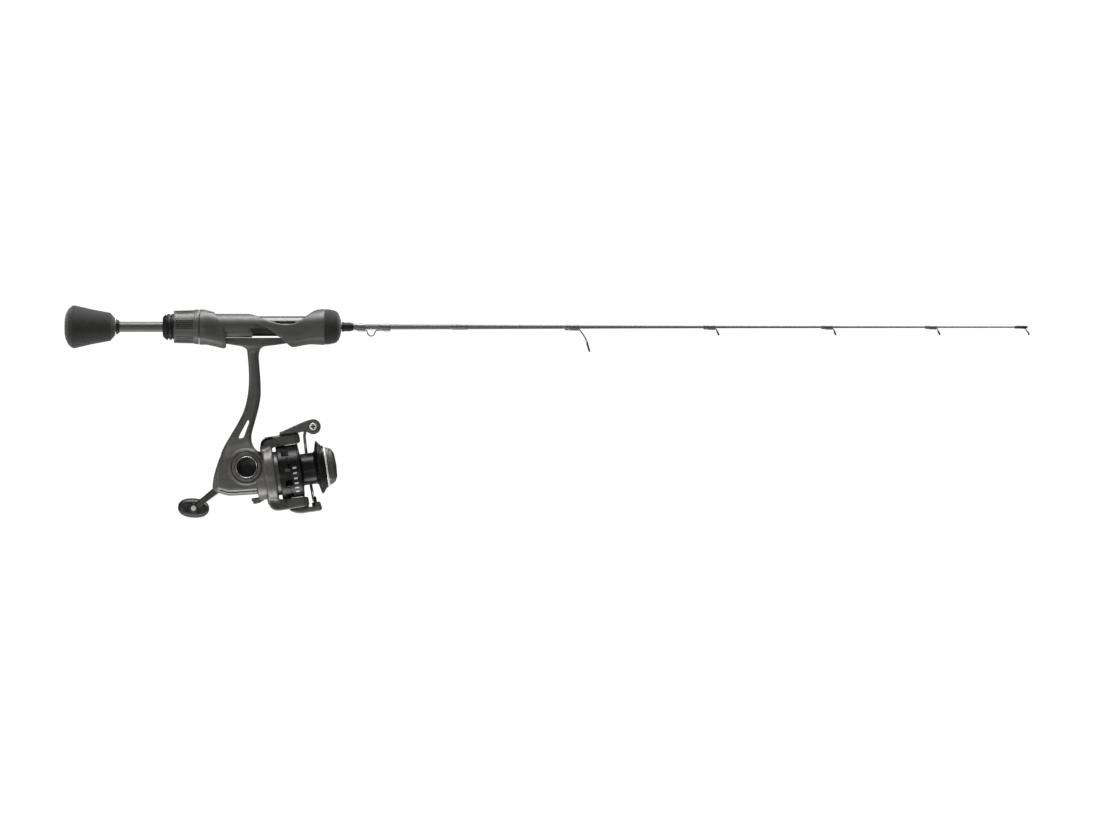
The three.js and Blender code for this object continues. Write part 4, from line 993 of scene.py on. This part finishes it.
def crank():
    arm_length = (PIN - CRANK).length
    angle = math.atan2(PIN.z - CRANK.z, PIN.x - CRANK.x)
    lengthwise = Matrix.Translation(CRANK) @ Matrix.Rotation(-angle, 4, "Y")
    outward = sideways((0, 0, 0))
    hub = turned(spin([
        (38.4, 0), (38.2, 4.4, 0.9), (34, 4.6, 0.4), (33, 4.1, 0.5), (23, 4.1, 0.4), (22, 4.6, 0.3),
        (20, 4.3, 0.5), (20, 2.75, 0.1), (33, 2.75, 0.1), (33, 0),
    ], 0.2, 48), outward)
    eye = turned(spin([(48, 0), (48, 3.1, 0.5), (45, 3.3, 0.4), (44.9, 0)], 0.3, 40),
                 sideways((arm_length, 0, 0)))
    piece("crank_arm", *joined(crank_bar(arm_length), hub, eye), "crank", "arm_black", "satin_black",
          matrix=lengthwise)
    piece("knob_rivet", *spin([
        (43.7, 0), (43.7, 1.2, 0.5), (44.2, 1.6, 0.3), (44.8, 1.7, 0.2), (44.8, 0),
    ], 0.2, 36), "crank", "steel", "zinc", matrix=sideways(PIN))

    power = 2.3  # a plan between an ellipse and a rectangle

    def paddle(x, y, z):
        """x and z lie across the knob, y runs away from the arm."""
        long = follow([(48.9, 8), (50, 9), (53, 9.1), (58, 9), (62, 9.6), (64.8, 10.35), (66.5, 10),
                       (67.8, 8.6)], y)
        short = follow([(48.9, 4.1), (50, 4.9), (53, 5), (58, 4.9), (62, 5.6), (64.8, 6.45), (66.5, 6.1),
                        (67.8, 4.8)], y)
        plan = ((np.abs(x) / long) ** power + (np.abs(z) / short) ** power) ** (1 / power)
        flat = (plan - 1) * short
        body = smooth_max(flat, np.abs(y - 58.3) - 9.2, 1.4)
        dish = ((x / 7.2) ** 2 + (z / 3.4) ** 2 + ((y - 48.6) / 1.1) ** 2) ** 0.5 - 1
        return smooth_max(body, -dish, 0.5)

    tilt = Matrix.Translation((PIN.x, 0, PIN.z)) @ Matrix.Rotation(math.radians(4), 4, "Y")
    piece("crank_knob", *skin(paddle, (-10.6, 49, -6.7), (10.6, 67.6, 6.7), 0.3), "knob", "knob_rubber",
          "knob_rubber", matrix=tilt, sharp=80, reduce=0.5)


# ------------------------------------------------------------------ rotor and bail
ARM_END_S = 33.4
ARM = trace((11, 12), (11, 17), ((11, 22), (13, 24.4), (18, 24.4)), (36.6, 24.4),
            ((38.2, 23.6), (38.2, 18.4), (36.6, 16.9)), (22.2, 16.9),
            ((19.2, 16.9), (18.3, 16), (18.3, 13.5)), (18.3, 12))
ARM_HALF_WIDTH = [(11, 9.5), (16, 7.6), (22, 6.2), (28, 5.5), (34, 5.3)]
END_LONG, END_WIDE = 4.5, 5.3  # half axes of the ellipse that ends the arm


def rounded_end(x, y):
    """Distance to the arm's plan, which ends in half an ellipse about the pivot."""
    straight = np.abs(y) - follow(ARM_HALF_WIDTH, x)
    oval = (np.hypot((x - ARM_END_S) / END_LONG, y / END_WIDE) - 1) * 4.7
    return np.where(x < ARM_END_S, straight, oval)


def rotor_field(x, y, z):
    r = np.hypot(y, z)
    disc = slab(r - 19, x - 14.65, 3.65, 1.5)
    arms = smooth_max(polygon(ARM, x, np.abs(z)) + 0 * y, rounded_end(x, y), 1.7)
    whole = smooth_min(disc, arms, 2.2)
    whole = smooth_max(whole, -np.maximum(r - 18.1, 18.4 - x), 0.5)
    whole = np.maximum(whole, -np.maximum(r - 17, x - 15.8))
    drum = np.maximum(np.abs(r - 13.2) - 1.2, np.abs(x - 20) - 4.3)
    web = common(r - 14.4, 2.9 - r, np.abs(x - 23.3) - 1)
    whole = either(whole, drum, web)
    whole = np.maximum(whole, -np.maximum(r - 12, x - 22.3))
    groove = np.abs(polygon(ARM, x, np.abs(z)) + 1.9)
    crease = common(groove - 0.25, np.abs(np.abs(y) - 5.5) - 0.5, np.abs(x - 19) - 5)
    whole = smooth_max(whole, -crease, 0.2)
    spring_bay = common(np.abs(y) - 3, np.abs(x - 21.4) - 6.7, 20.4 - z, z - 24)
    cover_bed = common(np.abs(y) - 2.9, np.abs(x - 21.3) - 6.6, 23.5 - z)
    return np.maximum(smooth_max(whole, -cover_bed, 0.2), -spring_bay)


def corner_cap(x, y, z):
    """The glossy patch that wraps the upper arm's rear corner."""
    shell = polygon(ARM, x, z) + 0 * y
    skin_depth = np.maximum(shell - 0.22, -2.3 - shell)
    sides = rounded_end(x, y) - 0.15
    part = np.maximum(x - 20, 19.3 - z)
    return smooth_max(smooth_max(skin_depth, sides, 1.4), part, 0.4)


def rotor():
    piece("rotor", *skin(rotor_field, (10.9, -19.1, -24.6), (38.2, 19.1, 24.6), 0.3), "rotor", "reel_paint",
          "reel_paint", matrix=REEL, reduce=0.3)
    piece("corner_cap", *skin(corner_cap, (10.6, -9.8, 19), (20.2, 9.8, 24.8), 0.22), "rotor", "spool_black",
          "gloss_black", matrix=REEL, reduce=0.4)

    def cover(x, y, z):
        flat = np.maximum(np.abs(x - 21.3) - 6.4, np.abs(y) - 2.7)
        plate = slab(flat, z - 24.1, 0.5, 0.25)
        recess = common(np.abs(x - 17) - 1.6, np.abs(y) - 1.7, 24.2 - z)
        return smooth_max(plate, -recess, 0.15)

    piece("spring_cover", *skin(cover, (14.8, -2.8, 23.5), (27.8, 2.8, 24.7), 0.16), "rotor", "reel_paint",
          "satin_black", matrix=REEL, reduce=0.5)


ROLLER_S, ROLLER_H = 47.1, 27
WIRE_END_S = 41.6
BAIL_ARM = trace((24.8, 24.75), (38, 24.75), ((41, 24.6), (42.6, 24.2), (43.4, 23.6)))
BAIL_ARM += [(ROLLER_S + 5.05 * math.cos(a), ROLLER_H + 5.05 * math.sin(a))
             for a in np.radians(np.linspace(-116, 104, 20))]
BAIL_ARM += bezier(BAIL_ARM[-1], (42, 31.6), (33, 28.8), (25, 26.3))[1:]
BAIL_ROOT = [(25, 24.75), (38, 24.75), (38.3, 27.4), (33, 27.3), (25, 26.3)]
HOLDER = trace((24.6, -24.8), (43.6, -24.8), ((46, -24.8), (45.8, -28.2), (43.4, -28.3)), (32, -28.3),
               ((29, -28.1), (26, -26.9), (24.6, -25.7)))
HOLDER_CUP = trace((40.7, -25.6), (41, -22.8), ((41.1, -21.9), (44.3, -21.9), (44.8, -23)), (44.9, -25.6))
BAIL_WIRE = {"reach": 34, "tall": 24.4, "plane": 40.4, "first": 58, "last": -56, "squareness": 0.714,
             "radius": 0.95}


def pivot_pad(x, y, z):
    """The pad that bears on the rotor's arm, with the pivot in it."""
    past_front, past_rear = np.maximum(x - 33.2, 0), np.minimum(x - 27.7, 0)
    pad = slab(np.hypot(past_front + past_rear, y) - 4, z - 24.8, 0.4, 0.15)
    pivot = np.maximum(np.hypot(x - ARM_END_S, y) - 1.2, np.abs(z - 22.8) - 2.4)
    return np.minimum(pad, pivot)


def bail_arm_field(x, y, z):
    cheek = slab(polygon(BAIL_ARM, x, z), y + 4.9, 1.5, 0.9)
    bridge = slab(polygon(BAIL_ROOT, x, z), y + 0.6, 4.4, 0.9)
    whole = smooth_min(cheek, bridge, 1.2)
    whole = np.minimum(whole, pivot_pad(x, y, z))
    sink = np.maximum(np.hypot(x - ROLLER_S, z - ROLLER_H) - 2.85, y + 5.5)
    return smooth_max(whole, -sink, 0.2)


def bail_holder_field(x, y, z):
    bar = slab(polygon(HOLDER, x, z), y, 4.4, 1.2)
    cup = slab(polygon(HOLDER_CUP, x, z), y, 2.9, 0.8)
    return np.minimum(smooth_min(bar, cup, 0.9), pivot_pad(x, y, -z))


def bail_wire_path():
    w = BAIL_WIRE
    arc = []
    for k in range(11):
        a = math.radians(w["first"] + (w["last"] - w["first"]) * k / 10)
        c, s = math.cos(a), math.sin(a)
        arc.append((w["plane"] + 0.6 * s * s, w["reach"] * abs(c) ** w["squareness"],
                    w["tall"] * math.copysign(abs(s) ** w["squareness"], s)))
    lead = [(ROLLER_S, 7.4, ROLLER_H), (45.6, 11.5, 26.8), (42.2, 16.6, 25.4)]
    tail = [(41.1, 13, -20.6), (41.3, 8, -19.4), (WIRE_END_S, 2.6, -19.4), (WIRE_END_S, 0.2, -20.9),
            (WIRE_END_S, 0, -23.6)]
    return flow(lead + arc + tail, 6)


def bail():
    piece("bail_arm", *skin(bail_arm_field, (24.6, -6.6, 20.2), (52.3, 4.2, 32.2), 0.22), "bail",
          "reel_paint", "reel_paint", matrix=REEL, reduce=0.35)
    roller_frame = REEL @ sideways((ROLLER_S, 0, ROLLER_H), -1)
    piece("roller_screw", *cross_screw(-6.9, 6.9, 2.5, 1.35, 2.2), "bail", "steel", "plated",
          matrix=roller_frame, reduce=0.4)
    piece("line_roller", *spin([
        (-3.3, 1.7), (-3.3, 3.3, 0.3), (-2.4, 2.75, 0.6), (-0.6, 2.3, 1), (1.2, 2.5, 0.8), (3.1, 3.3, 0.3),
        (3.1, 1.7),
    ], 0.15, 48), "roller", "steel", "steel", matrix=roller_frame)
    piece("bail_holder", *skin(bail_holder_field, (24.4, -4.7, -28.5), (46, 4.7, -20.2), 0.22), "bail",
          "reel_paint", "reel_paint", matrix=REEL, reduce=0.4)
    upward = Matrix.Translation((40.55, 0, -23.4)) @ Matrix.Rotation(-QUARTER, 4, "Y")
    piece("wire_socket", *turned(spin([
        (1.2, 0), (1.2, 1.2, 0.4), (0.4, 1.5, 0.4), (-1.5, 1.5, 0.2), (-1.5, 0),
    ], 0.2, 40), upward), "bail", "spool_black", "gloss_black", matrix=REEL)
    wire = sweep(bail_wire_path(), BAIL_WIRE["radius"], 16)
    cone = spin([(8.8, 0), (8.5, 0.9, 0.3), (8, 1.7, 0.4), (4.6, 3.4, 0.6), (3.6, 3.2, 0.2), (3.6, 0)], 0.1,
                40)
    cone = turned(cone, sideways((ROLLER_S, 0, ROLLER_H)))
    piece("bail_wire", *joined(wire, cone), "bail", "spool_black", "dark_metal", matrix=REEL)


# ------------------------------------------------------------------ spool and drag
def spool():
    body = piece("spool", *spin([
        (20.6, 16.4), (20.6, 17.2, 0.3), (21.3, 17.6, 0.4), (26.6, 17.6, 0.2), (26.9, 17.35, 0.2),
        (33.9, 17.35, 0.3), (34.2, 17.8, 0.2), (34.8, 17.8, 0.3), (35.3, 17, 0.4), (35.7, 11.2, 0.6),
        (36.3, 10.4, 0.3), (44.4, 10.4, 0.6), (45.4, 11.3, 0.6), (46.7, 16.9, 0.5), (47.3, 17.5, 0.3),
        (47.9, 17.5, 0.3), (48.3, 16.6, 0.15), (48.7, 16.6, 0.15), (49.2, 15.3, 0.2), (49.7, 15.3, 0.15),
        (50.3, 14.1, 0.2), (51.4, 13.85, 0.2), (51.4, 9.2, 0.1), (42.5, 9.2, 0.1), (42.5, 1.8, 0.1),
        (30.5, 1.8, 0.1), (30.5, 5.2, 0.1), (33, 5.2, 0.1), (33, 16.4, 0.2),
    ], 0.2, 120, 3), "spool", "spool_black", "gloss_black", matrix=REEL)
    ports = []
    count = 10
    for k in range(count):
        turn = Matrix.Rotation(2 * math.pi * (k + 0.25) / count, 4, "X")
        outline = [(25.9 + 1.8 * np.sign(math.cos(a)) + 0.7 * math.cos(a),
                    1.9 * np.sign(math.sin(a)) + 0.7 * math.sin(a))
                   for a in (2 * math.pi * (i + 0.5) / 24 for i in range(24))]
        ports.append(turned(loft([[(s, w, h) for s, w in outline] for h in (15, 20)]), turn))
    verts, faces = joined(*ports)
    cutter_mesh = bpy.data.meshes.new("ports")
    cutter_mesh.from_pydata([tuple((REEL @ Vector(v)) * MM) for v in verts], [], faces)
    cutter = new_object("ports", cutter_mesh)
    cut = body.modifiers.new("ports", "BOOLEAN")
    cut.operation, cut.object, cut.solver = "DIFFERENCE", cutter, "EXACT"
    settle(body).set_sharp_from_angle(angle=math.radians(38))
    bpy.data.objects.remove(cutter)

    marks = []
    for side in (0, math.pi):
        for k in range(6):
            middle = side + math.pi - math.radians(7) + k * math.radians(11.5)
            half = math.radians(1.9)
            rows = []
            for s in (29.8, 32.2):
                low, high = ([(s, r * math.cos(middle + d), r * math.sin(middle + d))
                              for d in (-half, 0, half)] for r in (17.3, 17.4))
                rows.append(low + high[::-1])
            marks.append(loft(rows))
    piece("spool_marks", *joined(*marks), "spool", "steel", "print", matrix=REEL)
    piece("spool_lip_ring", *spin([
        (51.5, 12.9), (51.5, 13.75, 0.15), (52.1, 13.6, 0.2), (52.6, 13.1, 0.15), (52.6, 12.9),
    ], 0.1, 96), "spool", "steel", "plated", matrix=REEL)

    edge = math.radians(167)

    def facets(s, r, angle):
        """Six flats round the front of the knob, with an edge 13 degrees above the middle and each 60 on."""
        ease = min(1, max(0, (s - 53.2) / 1.4)) * min(1, max(0, (r - 6) / 3))
        off = (angle - edge + math.pi / 6) % (math.pi / 3) - math.pi / 6
        from_middle = math.pi / 6 - abs(off)
        flat = math.cos(math.pi / 6) / math.cos(from_middle)
        return r * (1 + 0.55 * ease * (flat - 1))

    angles = sorted({(edge + k * math.pi / 3 + d) % (2 * math.pi)
                     for k in range(6) for d in [i * math.pi / 63 for i in range(21)]})
    piece("drag_knob", *spin([
        (58.7, 0), (58.2, 7.8, 1.4), (56.6, 11.3, 0.8), (54.4, 12.6, 0.6), (52.9, 12.5, 0.2), (52.9, 5, 0.2),
        (49.5, 5, 0.1), (49.5, 1.8, 0.1), (56.3, 1.8, 0.1), (56.3, 0),
    ], 0.2, steps=5, shape=facets, angles=angles), "drag", "reel_paint", "drag_paint", matrix=REEL,
        sharp=14)


# ------------------------------------------------------------------ finishes of the CAD pieces that stay
def inner_pieces():
    kept = {
        "steel": ["crank_bearing_near", "crank_bearing_far", "pinion_bearing", "crank_shaft", "main_shaft"],
        "satin_steel": ["knob_pin", "bail_spring", "rotor_nut"],
        "brass": ["pinion_gear"],
        "zinc": ["roller_clutch", "drive_gear", "oscillation_gear", "slider", "drag_washers"],
    }
    for finish, names in kept.items():
        for name in names:
            frame["nodes"][name].data.materials.clear()
            frame["nodes"][name].data.materials.append(FINISH[finish])


handle()
seat()
blank_and_guides()
reel_body()
crank()
rotor()
bail()
spool()
inner_pieces()
